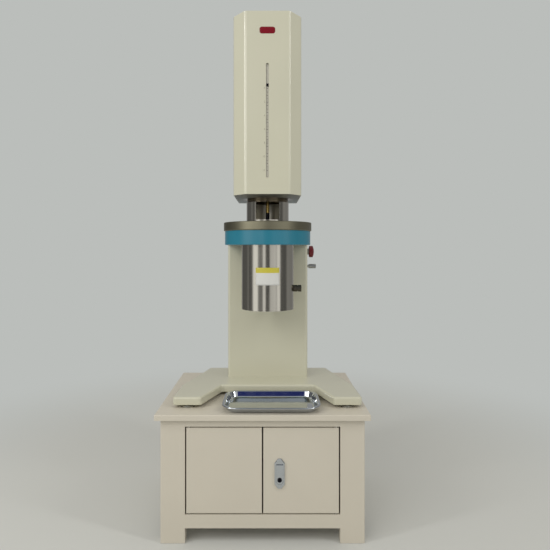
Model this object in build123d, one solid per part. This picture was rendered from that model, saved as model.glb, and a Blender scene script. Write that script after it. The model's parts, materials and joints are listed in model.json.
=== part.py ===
from build123d import *
from math import cos, pi, radians, sin, sqrt
import os

# Capillary rheometer on its two-door cabinet.
# The origin is the middle of the footprint on the floor, +X is right, -Y front and +Z up.
# All sizes are in millimetres.

# Fits shared by the whole machine
seat = 0.3              # gap left where one sheet or loose piece sits against another
running = 0.08          # radial clearance of a shaft or pin that turns or slides in its hole
screw_fit = 0.5         # radial clearance of a screw in its hole

# Cabinet
slab_width = 632.0
slab_depth = 500.0
slab_thick = 16.0
slab_edge_round = 3.0
slab_top_round = 2.7
cabinet_height = 380.0
overhang_side = 16.0
overhang_front = 15.0
overhang_rear = 15.0
stile_width = 72.0
frame_depth = 30.0      # stiles and rails, front to back
frame_bend = 3.0        # outer radius of a folded cabinet edge
rear_post_side = 32.0
top_rail_height = 22.0
bottom_rail_height = 40.0
toe_gap = 44.0
floor_rise = 8.0        # cabinet floor above the lower edge of the bottom rail
panel_sheet = 2.0

# Doors
door_thick = 20.0
door_sheet = 2.0
door_edge_round = 1.5
door_gap_side = 4.0
door_gap_end = 3.5      # above and below a leaf
door_gap_middle = 4.0
door_lip = 14.0         # width of the edge folded back in behind a leaf
door_rib_width = 36.0
door_rib_depth = 10.0
pivot_inset = 8.0       # pin axis, in from a leaf's outer edge
pivot_setback = 6.0     # pin axis, behind a leaf's front
pivot_diameter = 6.0
pivot_reach = 12.0      # into the rail, and into the leaf
pivot_shoulder = 10.0   # diameter of the shoulder that carries the leaf

# Handle and lock on the right door
handle_x = 50.0
handle_z = 205.0
handle_width = 30.0
handle_height = 88.0
handle_tip = 10.0       # width of the flat at each pointed end
handle_taper = 13.0     # height of each pointed end
handle_proud = 4.0
handle_edge = 1.2
handle_body_margin = 5.0    # wall round the pocket, behind the door's front
handle_body_depth = 8.0
paddle_width = 20.0
paddle_rise = 28.0      # top of the paddle above the handle's middle
paddle_drop = 31.0      # foot of the paddle below the handle's middle
paddle_tip = 8.0
paddle_taper = 8.0
paddle_thick = 6.0
paddle_gap = 0.6
trunnion_diameter = 3.0
trunnion_reach = 2.4
key_drop = 18.0         # key axis below the handle's middle
key_diameter = 12.0
key_gap = 1.2           # between the key cylinder and the hole in the paddle
key_proud = 1.0
key_slot_width = 2.0
key_slot_length = 8.0
key_slot_depth = 3.0
cam_length = 62.0
cam_width = 16.0
cam_thick = 2.5
cam_behind = 1.5        # gap between the doors' back and the cam
cam_post_diameter = 8.0

# Tray on the cabinet
tray_length = 297.0
tray_width = 185.0
tray_height = 20.0
tray_corner = 45.0
tray_wall = 1.2
tray_rim = 8.0
tray_bead = 2.4         # radius of the rolled edge
tray_slope = 9.0        # how far the wall leans in towards the floor
tray_x = 26.0
tray_front_gap = 4.0    # from the slab's front edge

# Instrument base
axis_x = 14.0           # the load axis, seen from above
base_thick = 24.0
base_corner = 12.0
base_top_round = 6.0
base_foot_round = 2.0
base_front_setback = 65.0   # from the slab's front edge
base_front_half = 289.0
base_leg_length = 140.0     # nearly straight side of a front leg
base_side_half = 284.0
base_waist_length = 73.0    # from the rear edge to where the sides splay
base_waist_half = 237.0
base_rear_setback = 55.0    # from the slab's rear edge
base_rear_half = 219.0
notch_clearance = 15.0      # behind the tray
notch_side_clearance = 3.5  # half the notch's rear width, past half the tray's length
notch_flare = 50.0          # widening of each side towards the front
foot_height = 9.0
foot_pad = 40.0         # diameter
foot_pad_thick = 5.0
foot_pad_edge = 1.25
foot_neck = 20.0        # diameter
foot_stud = 12.0        # diameter
foot_reach = 18.0
foot_front_inset = 45.0     # from the leg's front half width
foot_front_setback = 20.0
foot_rear_inset = 29.0
foot_rear_setback = 30.0

# Column
column_width = 279.0
column_depth = 135.0
column_rear_step = 7.0  # from the casting's rear edge
column_throat = 113.0   # load axis to the column's front
column_height = 463.0
column_bend = 8.0
cover_sheet = 2.0
cover_lip = 14.0
beam_width = 180.0
beam_depth = 84.0
beam_wall = 8.0
beam_flange_margin = 17.0
beam_flange_thick = 14.0

# Controls on the column's right side
control_setback = 68.0  # from the column's back
estop_below_head = 23.0
estop_head_diameter = 42.0
estop_head_height = 18.0
estop_dome = 5.0
estop_rim_ease = 2.0
estop_skirt_bore = 30.0
estop_skirt_depth = 7.0
estop_collar_diameter = 22.0
estop_collar_height = 10.0
estop_stem = 10.0       # diameter
estop_flange_diameter = 28.0
estop_flange_thick = 4.0
estop_body_length = 14.0
knob_below_estop = 53.0
knob_diameter = 16.0
knob_length = 26.0
knob_neck_diameter = 10.0
knob_neck_length = 9.0
knob_shaft = 8.0        # diameter
knob_flutes = 12
knob_flute_radius = 1.2
knob_plain = 3.0        # ring without flutes beside the neck
knob_edge = 1.5
knob_collar_diameter = 14.0
knob_collar_thick = 3.0

# Mains inlet on the column's back
inlet_width = 48.0
inlet_height = 28.0
inlet_flange = 4.0
inlet_flange_thick = 2.5
inlet_depth = 22.0
inlet_wall = 3.0
inlet_socket_depth = 18.0
inlet_x = -70.0         # from the load axis
inlet_rise = 60.0       # above the base's top
inlet_pin_width = 2.0
inlet_pin_height = 4.0
inlet_pin_spacing = 7.0

# Head and flange
head_thick = 45.0
head_edge = 1.5
head_bore = 96.0        # diameter
flange_diameter = 286.0
flange_thick = 27.0
flange_edge = 1.5
boss_diameter = 146.0
boss_height = 4.0
bolt_count = 6
bolt_circle = 236.0
bolt_diameter = 12.0
bolt_head_diameter = 18.0
bolt_head_height = 12.0
bolt_sink = 1.0         # head below the flange's top
bolt_reach = 20.0       # into the head
bolt_socket = 10.0      # across flats
bolt_socket_depth = 6.0

# Barrel, die and heater
bore_diameter = 12.0
bore_depth = 242.0      # mouth to the die
barrel_diameter = 56.0
barrel_collar_diameter = 80.0
barrel_collar_height = 12.0
barrel_mouth_diameter = 22.0
barrel_mouth_depth = 5.0
die_diameter = 18.0
die_height = 22.0
die_proud = 2.0         # die below the barrel's lower end
die_fit = 0.1
capillary_diameter = 2.0
die_entry_diameter = 10.0
die_entry_depth = 4.0
spigot_diameter = 40.0
spigot_height = 16.0
nut_across_flats = 55.0
nut_floor = 8.0
nut_hole = 12.0
nut_recess = 12.0       # nut above the jacket's lower edge
band_count = 3
band_thick = 7.0
band_gap = 7.0
band_split = 6.0        # slit where a band is clamped
jacket_diameter = 171.0
jacket_sheet = 1.5
jacket_floor = 3.0
jacket_access = 78.0    # hole under the die nut
wool_gap = 4.0          # round the heater bands
wool_end_gap = 6.0

# Sensor gland at the barrel's lower right
port_rise = 24.0        # above the die
port_bore = 8.0
port_neck = 12.0        # diameter
port_head_diameter = 22.0
port_head_length = 24.5
port_groove_width = 3.0
port_groove_depth = 2.0

# Window tube over the flange
tube_diameter = 138.0
tube_wall = 15.0
tube_height = 61.0
tube_sill = 4.0
window_width = 74.0
collar_height = 11.0
collar_diameter = 134.0

# Tower
tower_width = 204.0
tower_face = 132.0      # flat front between the two bends
tower_chamfer_depth = 41.0
tower_depth = 310.0
tower_rear_reach = 130.0   # from the load axis
tower_bend = 14.0
base_plate_thick = 14.0
top_plate_thick = 12.0
top_plate_width = 172.0
top_plate_front_gap = 36.0
back_plate_width = 150.0
back_plate_thick = 12.0
back_plate_gap = 6.0    # to the rear panel's folded edges
rod_hole = 16.0

# Piston drive
piston_entry = 3.0      # how far the parked piston already stands in the barrel
tip_clearance = 4.0     # piston to die at the lower end of the stroke
raise_travel = 50.0     # above the parked position, for filling the barrel
piston_fit = 0.05
piston_head_height = 32.0
piston_tip_edge = 0.8
rod_diameter = 11.4
adapter_diameter = 28.0
adapter_height = 16.0
adapter_edge = 2.0
adapter_clearance = 9.0     # above the base plate at the lower end of the stroke
load_cell_diameter = 50.0
load_cell_height = 26.0
load_cell_groove = 3.0
crosshead_height = 40.0
crosshead_width = 172.0
crosshead_front_reach = 46.0
crosshead_rear_reach = 92.0
crosshead_corner = 16.0
guide_spacing = 132.0
guide_setback = 30.0
guide_diameter = 20.0
screw_setback = 62.0
screw_diameter = 20.0
journal_diameter = 16.0
nut_body_diameter = 40.0
nut_flange_diameter = 58.0
nut_flange_thick = 8.0
bearing_diameter = 40.0
bearing_height = 10.0
pulley_teeth_pitch = 5.0
screw_pulley_teeth = 36
motor_pulley_teeth = 18
pulley_tooth_depth = 1.2
belt_thick = 2.0
belt_width = 14.0
belt_run_gap = 3.0      # above and below the belt
motor_setback = 90.0    # motor axis in front of the load axis
motor_side = 70.0
motor_height = 96.0
motor_corner = 9.0
motor_flange = 82.0
motor_flange_thick = 8.0
motor_shaft = 14.0      # diameter
lid_clearance = 18.0

# Pointer, slot and scale
slot_width = 8.0
slot_above = 13.0       # past the pointer's highest place
slot_below = 37.0       # past the pointer's lowest place
strip_width = 12.0
strip_thick = 1.5
strip_setback = 5.0     # behind the cover's sheet
pointer_diameter = 6.5
pointer_tab = 2.0       # thickness of the tab in front of the strip
pointer_tab_height = 9.0
pointer_arm = 6.0       # width of the arm beside the strip
pointer_arm_gap = 3.0   # arm to strip

# Places that follow from the sizes above
slab_under = cabinet_height - slab_thick
body_half = slab_width / 2 - overhang_side
body_front = -slab_depth / 2 + overhang_front
body_rear = slab_depth / 2 - overhang_rear
frame_back = body_front + frame_depth
opening_half = body_half - stile_width
opening_foot = toe_gap + bottom_rail_height
opening_top = slab_under - top_rail_height
post_inner = body_half - rear_post_side
post_front = body_rear - rear_post_side
floor_under = toe_gap + floor_rise

leaf_foot = opening_foot + door_gap_end
leaf_top = opening_top - door_gap_end
leaf_outer = opening_half - door_gap_side
leaf_inner = door_gap_middle / 2
leaf_back = body_front + door_thick
pivot_x = leaf_outer - pivot_inset
pivot_y = body_front + pivot_setback

handle_front = body_front - handle_proud
paddle_floor = handle_front + paddle_thick + seat
paddle_pin_y = handle_front + paddle_thick / 2
paddle_pin_z = handle_z + paddle_rise - paddle_thick / 2
key_z = handle_z - key_drop
cam_front = leaf_back + cam_behind

tray_y = -slab_depth / 2 + tray_front_gap + tray_width / 2
tray_top = cabinet_height + tray_height

base_front = -slab_depth / 2 + base_front_setback
base_side = base_front + base_leg_length
base_rear = slab_depth / 2 - base_rear_setback
base_waist = base_rear - base_waist_length
notch_rear = tray_y + tray_width / 2 + notch_clearance
notch_rear_half = tray_length / 2 + notch_side_clearance
notch_front_half = notch_rear_half + notch_flare
column_rear = base_rear - column_rear_step
column_front = column_rear - column_depth
control_y = column_rear - control_setback
axis_y = column_front - column_throat
tower_rear = axis_y + tower_rear_reach
tower_front = tower_rear - tower_depth

base_under = cabinet_height + foot_height
base_top = base_under + base_thick
head_under = base_top + column_height
head_top = head_under + head_thick
head_radius = column_width / 2
flange_top = head_top + flange_thick
boss_top = flange_top + boss_height
column_left = axis_x - column_width / 2
column_right = axis_x + column_width / 2
estop_z = head_under - estop_below_head
knob_z = estop_z - knob_below_estop

die_top = boss_top - bore_depth
die_foot = die_top - die_height
barrel_foot = die_foot + die_proud
nut_foot = die_foot - nut_floor
jacket_foot = nut_foot - nut_recess
jacket_inner = jacket_diameter / 2 - jacket_sheet
port_z = die_top + port_rise
band_foot = port_z + port_head_diameter / 2 + band_gap
band_top = head_under - band_gap
band_height = (band_top - band_foot - band_gap * (band_count - 1)) / band_count
band_radius = barrel_diameter / 2 + band_thick
port_start = axis_x + barrel_diameter / 2
port_head_start = axis_x + jacket_diameter / 2 + seat
port_end = port_head_start + port_head_length

tube_top = boss_top + tube_height
tower_foot = tube_top + collar_height
base_plate_top = tower_foot + base_plate_thick
piston_tip = boss_top - piston_entry
lower_travel = piston_tip - die_top - tip_clearance
adapter_foot = base_plate_top + adapter_clearance + lower_travel
load_cell_foot = adapter_foot + adapter_height
crosshead_foot = load_cell_foot + load_cell_height
crosshead_top = crosshead_foot + crosshead_height
pointer_z = crosshead_foot + crosshead_height / 2
screw_y = axis_y + screw_setback
guide_y = axis_y + guide_setback
guide_half = guide_spacing / 2
motor_y = axis_y - motor_setback
belt_foot = crosshead_top + raise_travel + belt_run_gap
belt_top = belt_foot + belt_width
top_plate_foot = belt_top + belt_run_gap
top_plate_top = top_plate_foot + top_plate_thick
motor_top = top_plate_top + motor_height
tower_top = motor_top + lid_clearance
back_plate_rear = tower_rear - 2 * cover_sheet - back_plate_gap
back_plate_front = back_plate_rear - back_plate_thick
screw_pulley_radius = screw_pulley_teeth * pulley_teeth_pitch / (2 * pi)
motor_pulley_radius = motor_pulley_teeth * pulley_teeth_pitch / (2 * pi)
slot_top = pointer_z + raise_travel + slot_above
slot_foot = pointer_z - lower_travel - slot_below


def block(x0, x1, y0, y1, z0, z1):
    """Box between two limits on each axis."""
    place = Pos((x0 + x1) / 2, (y0 + y1) / 2, (z0 + z1) / 2)
    return place * Box(x1 - x0, y1 - y0, z1 - z0)


def bar_z(x, y, z0, z1, radius):
    """Upright round bar."""
    return Pos(x, y, (z0 + z1) / 2) * Cylinder(radius, z1 - z0)


def bar_y(x, z, y0, y1, radius):
    """Round bar from front to back."""
    return Pos(x, (y0 + y1) / 2, z) * Rot(90, 0, 0) * Cylinder(radius, y1 - y0)


def bar_x(y, z, x0, x1, radius):
    """Round bar from left to right."""
    return Pos((x0 + x1) / 2, y, z) * Rot(0, 90, 0) * Cylinder(radius, x1 - x0)


def upright(face, z0, z1):
    """Flat outline, drawn seen from above, raised between two heights."""
    return extrude(Pos(0, 0, z0) * face, z1 - z0, dir=(0, 0, 1))


def forward(face, y0, y1):
    """Outline drawn seen from the front, in X and Z, carried from y0 back to y1."""
    standing = Plane.XZ * face
    return extrude(Pos(0, y0, 0) * standing, y1 - y0, dir=(0, 1, 0))


def outline(points):
    """Face inside a closed run of corners."""
    return make_face(Polyline(*points, close=True))


def face_edges(part, axis, last=True):
    """Edges of a part's outermost flat face along an axis."""
    faces = part.faces().sort_by(axis)
    return (faces[-1] if last else faces[0]).edges()


# Cabinet

def cabinet_top():
    """Slab with its edge rounded all round."""
    slab = block(-slab_width / 2, slab_width / 2, -slab_depth / 2, slab_depth / 2,
                 slab_under, cabinet_height)
    slab = fillet(slab.edges().filter_by(Axis.Z), slab_edge_round)
    return fillet(face_edges(slab, Axis.Z), slab_top_round)


def front_stile(side):
    """Folded post beside the doors that runs down as a leg; side is -1 or 1."""
    near, far = sorted((side * opening_half, side * body_half))
    stile = block(near, far, body_front, frame_back, 0, slab_under)
    corner = stile.edges().filter_by(Axis.Z).sort_by(Axis.Y)[:2].sort_by(Axis.X)
    return fillet(corner[-1 if side > 0 else 0], frame_bend)


def rear_posts():
    """The two square posts at the cabinet's back corners."""
    left = block(-body_half, -post_inner, post_front, body_rear, 0, slab_under)
    right = block(post_inner, body_half, post_front, body_rear, 0, slab_under)
    return left + right


def pivot_holes(z0, z1):
    """Cutters for the door pins, at both doors."""
    radius = pivot_diameter / 2 + running
    return bar_z(-pivot_x, pivot_y, z0, z1, radius) + bar_z(pivot_x, pivot_y, z0, z1, radius)


def front_top_rail():
    """Rail over the doors, bored for the upper pins."""
    rail = block(-opening_half, opening_half, body_front, frame_back, opening_top, slab_under)
    return rail - pivot_holes(opening_top, opening_top + pivot_reach)


def front_bottom_rail():
    """Rail under the doors, bored for the lower pins."""
    rail = block(-opening_half, opening_half, body_front, frame_back, toe_gap, opening_foot)
    return rail - pivot_holes(opening_foot - pivot_reach, opening_foot)


def side_panel(side):
    """Sheet between a front stile and a rear post; side is -1 or 1."""
    near, far = sorted((side * (body_half - panel_sheet), side * body_half))
    return block(near, far, frame_back, post_front, toe_gap, slab_under)


def back_panel():
    """Sheet between the rear posts."""
    return block(-post_inner, post_inner, body_rear - panel_sheet, body_rear, toe_gap, slab_under)


def cabinet_floor():
    """Sheet floor, notched round the rear posts, with its front edge on the bottom rail."""
    half = body_half - panel_sheet
    back = body_rear - panel_sheet
    sheet = block(-half, half, frame_back, back, floor_under, floor_under + panel_sheet)
    notch = block(post_inner, body_half, post_front, body_rear, 0, slab_under)
    return sheet - notch - mirror(notch, Plane.YZ)


def door_leaf(side):
    """Folded pan with lips turned in behind and a rib down its middle; side is -1 or 1."""
    near, far = sorted((side * leaf_inner, side * leaf_outer))
    leaf = block(near, far, body_front, leaf_back, leaf_foot, leaf_top)
    leaf = fillet(leaf.faces().sort_by(Axis.Y)[0].edges(), door_edge_round)
    leaf -= block(near + door_sheet, far - door_sheet, body_front + door_sheet,
                  leaf_back - door_sheet, leaf_foot + door_sheet, leaf_top - door_sheet)
    leaf -= block(near + door_lip, far - door_lip, body_front + door_sheet, leaf_back,
                  leaf_foot + door_lip, leaf_top - door_lip)
    middle = (near + far) / 2
    rib = block(middle - door_rib_width / 2, middle + door_rib_width / 2,
                body_front + door_sheet, body_front + door_sheet + door_rib_depth,
                leaf_foot + door_sheet, leaf_top - door_sheet)
    return leaf + rib - pivot_holes(leaf_foot, leaf_foot + door_sheet) \
        - pivot_holes(leaf_top - door_sheet, leaf_top)


def door_pivots():
    """Four shouldered pins, from the rails into the leaves."""
    pins = Part()
    for x in (-pivot_x, pivot_x):
        pins += bar_z(x, pivot_y, opening_foot - pivot_reach, leaf_foot + pivot_reach,
                      pivot_diameter / 2)
        pins += bar_z(x, pivot_y, opening_foot, leaf_foot - seat, pivot_shoulder / 2)
        pins += bar_z(x, pivot_y, leaf_top - pivot_reach, opening_top + pivot_reach,
                      pivot_diameter / 2)
        pins += bar_z(x, pivot_y, leaf_top + seat, opening_top, pivot_shoulder / 2)
    return pins


# Handle and lock

def pointed(width, top, foot, tip, taper, head_taper):
    """Long six- or eight-sided outline round the handle's X, between two heights."""
    half, end = width / 2, tip / 2
    right = [(end, foot), (half, foot + taper), (half, top - head_taper), (end, top)]
    if not head_taper:
        right = right[:2] + [(half, top)]
    left = [(-x, z) for x, z in reversed(right)]
    return outline([(handle_x + x, z) for x, z in right + left])


def paddle_outline(grow):
    """Outline of the paddle, square at its hinge and pointed at its foot, grown by a gap."""
    return pointed(paddle_width + 2 * grow, handle_z + paddle_rise + grow,
                   handle_z - paddle_drop - grow, paddle_tip, paddle_taper, 0)


def handle_plate():
    """Cast plate with a pocket for the paddle and a boss through the door's sheet."""
    plate = forward(pointed(handle_width, handle_z + handle_height / 2,
                            handle_z - handle_height / 2, handle_tip, handle_taper,
                            handle_taper), handle_front, body_front)
    plate = chamfer(plate.faces().sort_by(Axis.Y)[0].edges(), handle_edge)
    plate += handle_boss(0)
    plate -= forward(paddle_outline(paddle_gap), handle_front, paddle_floor)
    reach = paddle_width / 2 + trunnion_reach + paddle_gap
    plate -= bar_x(paddle_pin_y, paddle_pin_z, handle_x - reach, handle_x + reach,
                   trunnion_diameter / 2 + running)
    return plate - bar_y(handle_x, key_z, paddle_floor, body_front + handle_body_depth,
                         key_diameter / 2 + running)


def handle_boss(grow):
    """The part of the handle behind the door's front, grown by a gap for its cut-out."""
    half = handle_width / 2 - handle_body_margin / 2 + grow
    top = handle_z + paddle_rise + handle_body_margin + grow
    foot = handle_z - paddle_drop - handle_body_margin / 2 - grow
    return block(handle_x - half, handle_x + half, body_front,
                 body_front + handle_body_depth, foot, top)


def handle_paddle():
    """Lifting paddle on two trunnions, round behind its hinge and holed for the key."""
    radius = paddle_thick / 2
    blade = forward(paddle_outline(0), handle_front, handle_front + paddle_thick)
    blade -= block(handle_x - paddle_width, handle_x + paddle_width, handle_front,
                   handle_front + paddle_thick, paddle_pin_z, handle_z + handle_height)
    half = paddle_width / 2
    blade += bar_x(paddle_pin_y, paddle_pin_z, handle_x - half, handle_x + half, radius)
    reach = half + trunnion_reach
    blade += bar_x(paddle_pin_y, paddle_pin_z, handle_x - reach, handle_x + reach,
                   trunnion_diameter / 2)
    return blade - bar_y(handle_x, key_z, handle_front, handle_front + paddle_thick,
                         key_diameter / 2 + key_gap)


def lock_cylinder():
    """Key cylinder with its slot in front and the cam's post behind."""
    face = handle_front - key_proud
    plug = bar_y(handle_x, key_z, face, cam_front, key_diameter / 2)
    plug += bar_y(handle_x, key_z, cam_front, cam_front + cam_thick, cam_post_diameter / 2)
    slot = block(handle_x - key_slot_width / 2, handle_x + key_slot_width / 2,
                 face, face + key_slot_depth,
                 key_z - key_slot_length / 2, key_z + key_slot_length / 2)
    return plug - slot


def lock_cam():
    """Tongue on the cylinder's post, hanging down while unlocked."""
    half = cam_width / 2
    tongue = block(handle_x - half, handle_x + half, cam_front, cam_front + cam_thick,
                   key_z - cam_length + half, key_z)
    tongue += bar_y(handle_x, key_z, cam_front, cam_front + cam_thick, half)
    tongue += bar_y(handle_x, key_z - cam_length + half, cam_front, cam_front + cam_thick, half)
    return tongue - bar_y(handle_x, key_z, cam_front, cam_front + cam_thick,
                          cam_post_diameter / 2 + running)


def door_right():
    """Right leaf with the cut-out for the handle."""
    return door_leaf(1) - handle_boss(seat)


# Tray

def tray_outline(inset, z):
    """The tray's round-cornered outline, shrunk by an inset, at a height."""
    face = RectangleRounded(tray_length - 2 * inset, tray_width - 2 * inset, tray_corner - inset)
    return Pos(tray_x, tray_y, z) * face


def sample_tray():
    """Pressed dish with sloping walls, a flat rim and a rolled edge."""
    rim_top = tray_top - tray_bead / 2
    outer_foot = tray_rim + tray_slope
    dish = loft([tray_outline(outer_foot, cabinet_height), tray_outline(tray_rim, rim_top)])
    dish -= loft([tray_outline(outer_foot + tray_wall, cabinet_height + tray_wall),
                  tray_outline(tray_rim + tray_wall, rim_top)])
    rim = upright(tray_outline(tray_bead, 0), rim_top - tray_wall, rim_top)
    rim -= upright(tray_outline(tray_rim + tray_wall, 0), rim_top - tray_wall, rim_top)
    path = tray_outline(tray_bead, tray_top - tray_bead).face().outer_wire()
    start = Plane(origin=path @ 0, z_dir=path % 0)
    bead = sweep(start * Circle(tray_bead), path)
    return dish + rim + bead


# Instrument base and feet

def base_outline():
    """Splayed plan of the casting, with the notch between its front legs."""
    right = [(notch_rear_half, notch_rear), (notch_front_half, base_front),
             (base_front_half, base_front), (base_side_half, base_side),
             (base_waist_half, base_waist), (base_rear_half, base_rear)]
    left = [(-x, y) for x, y in reversed(right)]
    face = outline([(axis_x + x, y) for x, y in right + left])
    return fillet(face.vertices(), base_corner)


def foot_places():
    """Name, X and Y of each levelling foot."""
    front_y = base_front + foot_front_setback
    rear_y = base_rear - foot_rear_setback
    front = base_front_half - foot_front_inset
    rear = base_rear_half - foot_rear_inset
    return [("front_left", axis_x - front, front_y), ("front_right", axis_x + front, front_y),
            ("rear_left", axis_x - rear, rear_y), ("rear_right", axis_x + rear, rear_y)]


def base_casting():
    """Cast base with a soft upper edge and bored for its feet."""
    base = upright(base_outline(), base_under, base_top)
    base = fillet(face_edges(base, Axis.Z), base_top_round)
    base = fillet(face_edges(base, Axis.Z, last=False), base_foot_round)
    for _, x, y in foot_places():
        base -= bar_z(x, y, base_under, base_under + foot_reach, foot_stud / 2 + running)
    return base


def levelling_foot(x, y):
    """Round pad with a neck, and a stud up into the casting."""
    foot = bar_z(x, y, cabinet_height, cabinet_height + foot_pad_thick, foot_pad / 2)
    foot = chamfer(face_edges(foot, Axis.Z), foot_pad_edge)
    foot += bar_z(x, y, cabinet_height + foot_pad_thick, base_under - seat, foot_neck / 2)
    return foot + bar_z(x, y, base_under - seat, base_under + foot_reach - seat, foot_stud / 2)


# Folded covers

def open_back_cover(plan, left, right, rear, z0, z1):
    """Sheet folded to a plan, open behind, with a lip turned in along each rear edge."""
    cover = upright(plan, z0, z1)
    cover -= upright(offset(plan, -cover_sheet, kind=Kind.INTERSECTION), z0, z1)
    cover -= block(left + cover_sheet, right - cover_sheet, rear - cover_sheet, rear, z0, z1)
    for edge in (left + cover_sheet, right - cover_sheet - cover_lip):
        cover += block(edge, edge + cover_lip, rear - 2 * cover_sheet, rear - cover_sheet, z0, z1)
    return cover


def rear_panel(left, right, rear, z0, z1):
    """Flat panel on the lips of a folded cover."""
    gap = cover_sheet + seat
    return block(left + gap, right - gap, rear - cover_sheet, rear, z0, z1)


# Column

def column_plan():
    """Rectangle with its two front corners folded round."""
    middle = (column_front + column_rear) / 2
    face = Pos(axis_x, middle) * Rectangle(column_width, column_rear - column_front)
    return fillet(face.vertices().sort_by(Axis.Y)[:2], column_bend)


def column_cover():
    """Front and sides of the column, holed for the two controls."""
    cover = open_back_cover(column_plan(), column_left, column_right, column_rear,
                            base_top, head_under)
    inside = column_right - 2 * cover_sheet
    cover -= bar_x(control_y, estop_z, inside, column_right + seat,
                   estop_collar_diameter / 2 + seat)
    return cover - bar_x(control_y, knob_z, inside, column_right + seat,
                         knob_shaft / 2 + running)


def inlet_centre():
    """X and Z of the mains inlet."""
    return axis_x + inlet_x, base_top + inlet_rise


def inlet_block(grow, y0, y1):
    """The inlet's section, grown all round, between two depths."""
    x, z = inlet_centre()
    half, tall = inlet_width / 2 + grow, inlet_height / 2 + grow
    return block(x - half, x + half, y0, y1, z - tall, z + tall)


def column_rear_panel():
    """Back of the column, cut out for the mains inlet."""
    panel = rear_panel(column_left, column_right, column_rear, base_top, head_under)
    return panel - inlet_block(seat, column_rear - cover_sheet, column_rear)


def power_inlet():
    """Mains inlet: a flanged box with a recess and three flat pins."""
    body = inlet_block(0, column_rear - inlet_depth, column_rear)
    body += inlet_block(inlet_flange, column_rear, column_rear + inlet_flange_thick)
    outer = column_rear + inlet_flange_thick
    body -= inlet_block(-inlet_wall, outer - inlet_socket_depth, outer)
    x, z = inlet_centre()
    for across, up in ((-1, 0), (0, 0.5), (1, 0)):
        px, pz = x + across * inlet_pin_spacing, z + up * inlet_pin_spacing
        body += block(px - inlet_pin_width / 2, px + inlet_pin_width / 2,
                      outer - inlet_socket_depth, outer - inlet_flange_thick,
                      pz - inlet_pin_height / 2, pz + inlet_pin_height / 2)
    return body


def column_beam():
    """Welded box beam with a flange at each end; it carries the head."""
    y = (column_front + column_rear) / 2
    half, deep = beam_width / 2, beam_depth / 2
    beam = block(axis_x - half, axis_x + half, y - deep, y + deep, base_top, head_under)
    wide, long = half + beam_flange_margin, deep + beam_flange_margin
    for z0 in (base_top, head_under - beam_flange_thick):
        beam += block(axis_x - wide, axis_x + wide, y - long, y + long,
                      z0, z0 + beam_flange_thick)
    half, deep = half - beam_wall, deep - beam_wall
    return beam - block(axis_x - half, axis_x + half, y - deep, y + deep, base_top, head_under)


# Controls

def turned(face, z):
    """Round piece on the column's right side, from half its section in (outward, radius)."""
    solid = revolve(Plane.XZ * face, Axis.X)
    return Pos(column_right, control_y, z) * solid


def estop_collar():
    """Fixed part of the stop button: bezel, flange behind the sheet and body."""
    inside = -cover_sheet
    body_end = inside - estop_flange_thick - estop_body_length
    bore = estop_stem / 2 + running
    outer, flange = estop_collar_diameter / 2, estop_flange_diameter / 2
    behind = inside - estop_flange_thick
    section = [(body_end, bore), (estop_collar_height, bore), (estop_collar_height, outer),
               (inside, outer), (inside, flange), (behind, flange), (behind, outer),
               (body_end, outer)]
    return turned(outline(section), estop_z)


def estop_button():
    """Mushroom head with a spherical crown, hollow round the collar, on its stem."""
    top = estop_collar_height + estop_head_height
    rim = estop_head_diameter / 2
    skirt = estop_skirt_bore / 2
    ceiling = estop_collar_height + estop_skirt_depth
    stem = estop_stem / 2
    foot = -cover_sheet - estop_flange_thick
    crown_radius = (rim ** 2 + estop_dome ** 2) / (2 * estop_dome)
    half_way = top - crown_radius + sqrt(crown_radius ** 2 - (rim / 2) ** 2)
    side = Polyline((top, 0), (foot, 0), (foot, stem), (ceiling, stem), (ceiling, skirt),
                    (estop_collar_height, skirt), (estop_collar_height, rim - estop_rim_ease),
                    (estop_collar_height + estop_rim_ease, rim), (top - estop_dome, rim))
    crown = ThreePointArc((top - estop_dome, rim), (half_way, rim / 2), (top, 0))
    return turned(make_face(side + crown), estop_z)


def jog_knob():
    """Fluted metal knob with a neck, its shaft through the sheet, and a collar inside."""
    grip = knob_neck_length + knob_length
    back = -cover_sheet - seat
    end = back - knob_collar_thick
    collar, shaft = knob_collar_diameter / 2, knob_shaft / 2
    neck, rim = knob_neck_diameter / 2, knob_diameter / 2
    section = [(end, 0), (end, collar), (back, collar), (back, shaft), (seat, shaft),
               (seat, neck), (knob_neck_length, neck), (knob_neck_length, rim),
               (grip - knob_edge, rim), (grip, rim - knob_edge), (grip, 0)]
    knob = turned(outline(section), knob_z)
    start = column_right + knob_neck_length
    for step in range(knob_flutes):
        angle = radians(360 * step / knob_flutes)
        knob -= bar_x(control_y + knob_diameter / 2 * cos(angle),
                      knob_z + knob_diameter / 2 * sin(angle),
                      start + knob_plain, start + knob_length, knob_flute_radius)
    return knob


# Head, flange and bolts

def head_casting():
    """Plate round in front and straight-sided behind, flush with the column."""
    head = bar_z(axis_x, axis_y, head_under, head_top, head_radius)
    head += block(axis_x - head_radius, axis_x + head_radius, axis_y, column_rear,
                  head_under, head_top)
    head = fillet(face_edges(head, Axis.Z) + face_edges(head, Axis.Z, last=False), head_edge)
    head -= bar_z(axis_x, axis_y, head_under, head_top, head_bore / 2)
    for x, y in bolt_places():
        head -= bar_z(x, y, head_top - bolt_reach, head_top, bolt_diameter / 2 + screw_fit)
    return head


def bolt_places():
    """X and Y of each flange bolt."""
    radius = bolt_circle / 2
    turn = 360 / bolt_count
    return [(axis_x + radius * cos(radians(turn * (step + 0.5))),
             axis_y + radius * sin(radians(turn * (step + 0.5)))) for step in range(bolt_count)]


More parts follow.
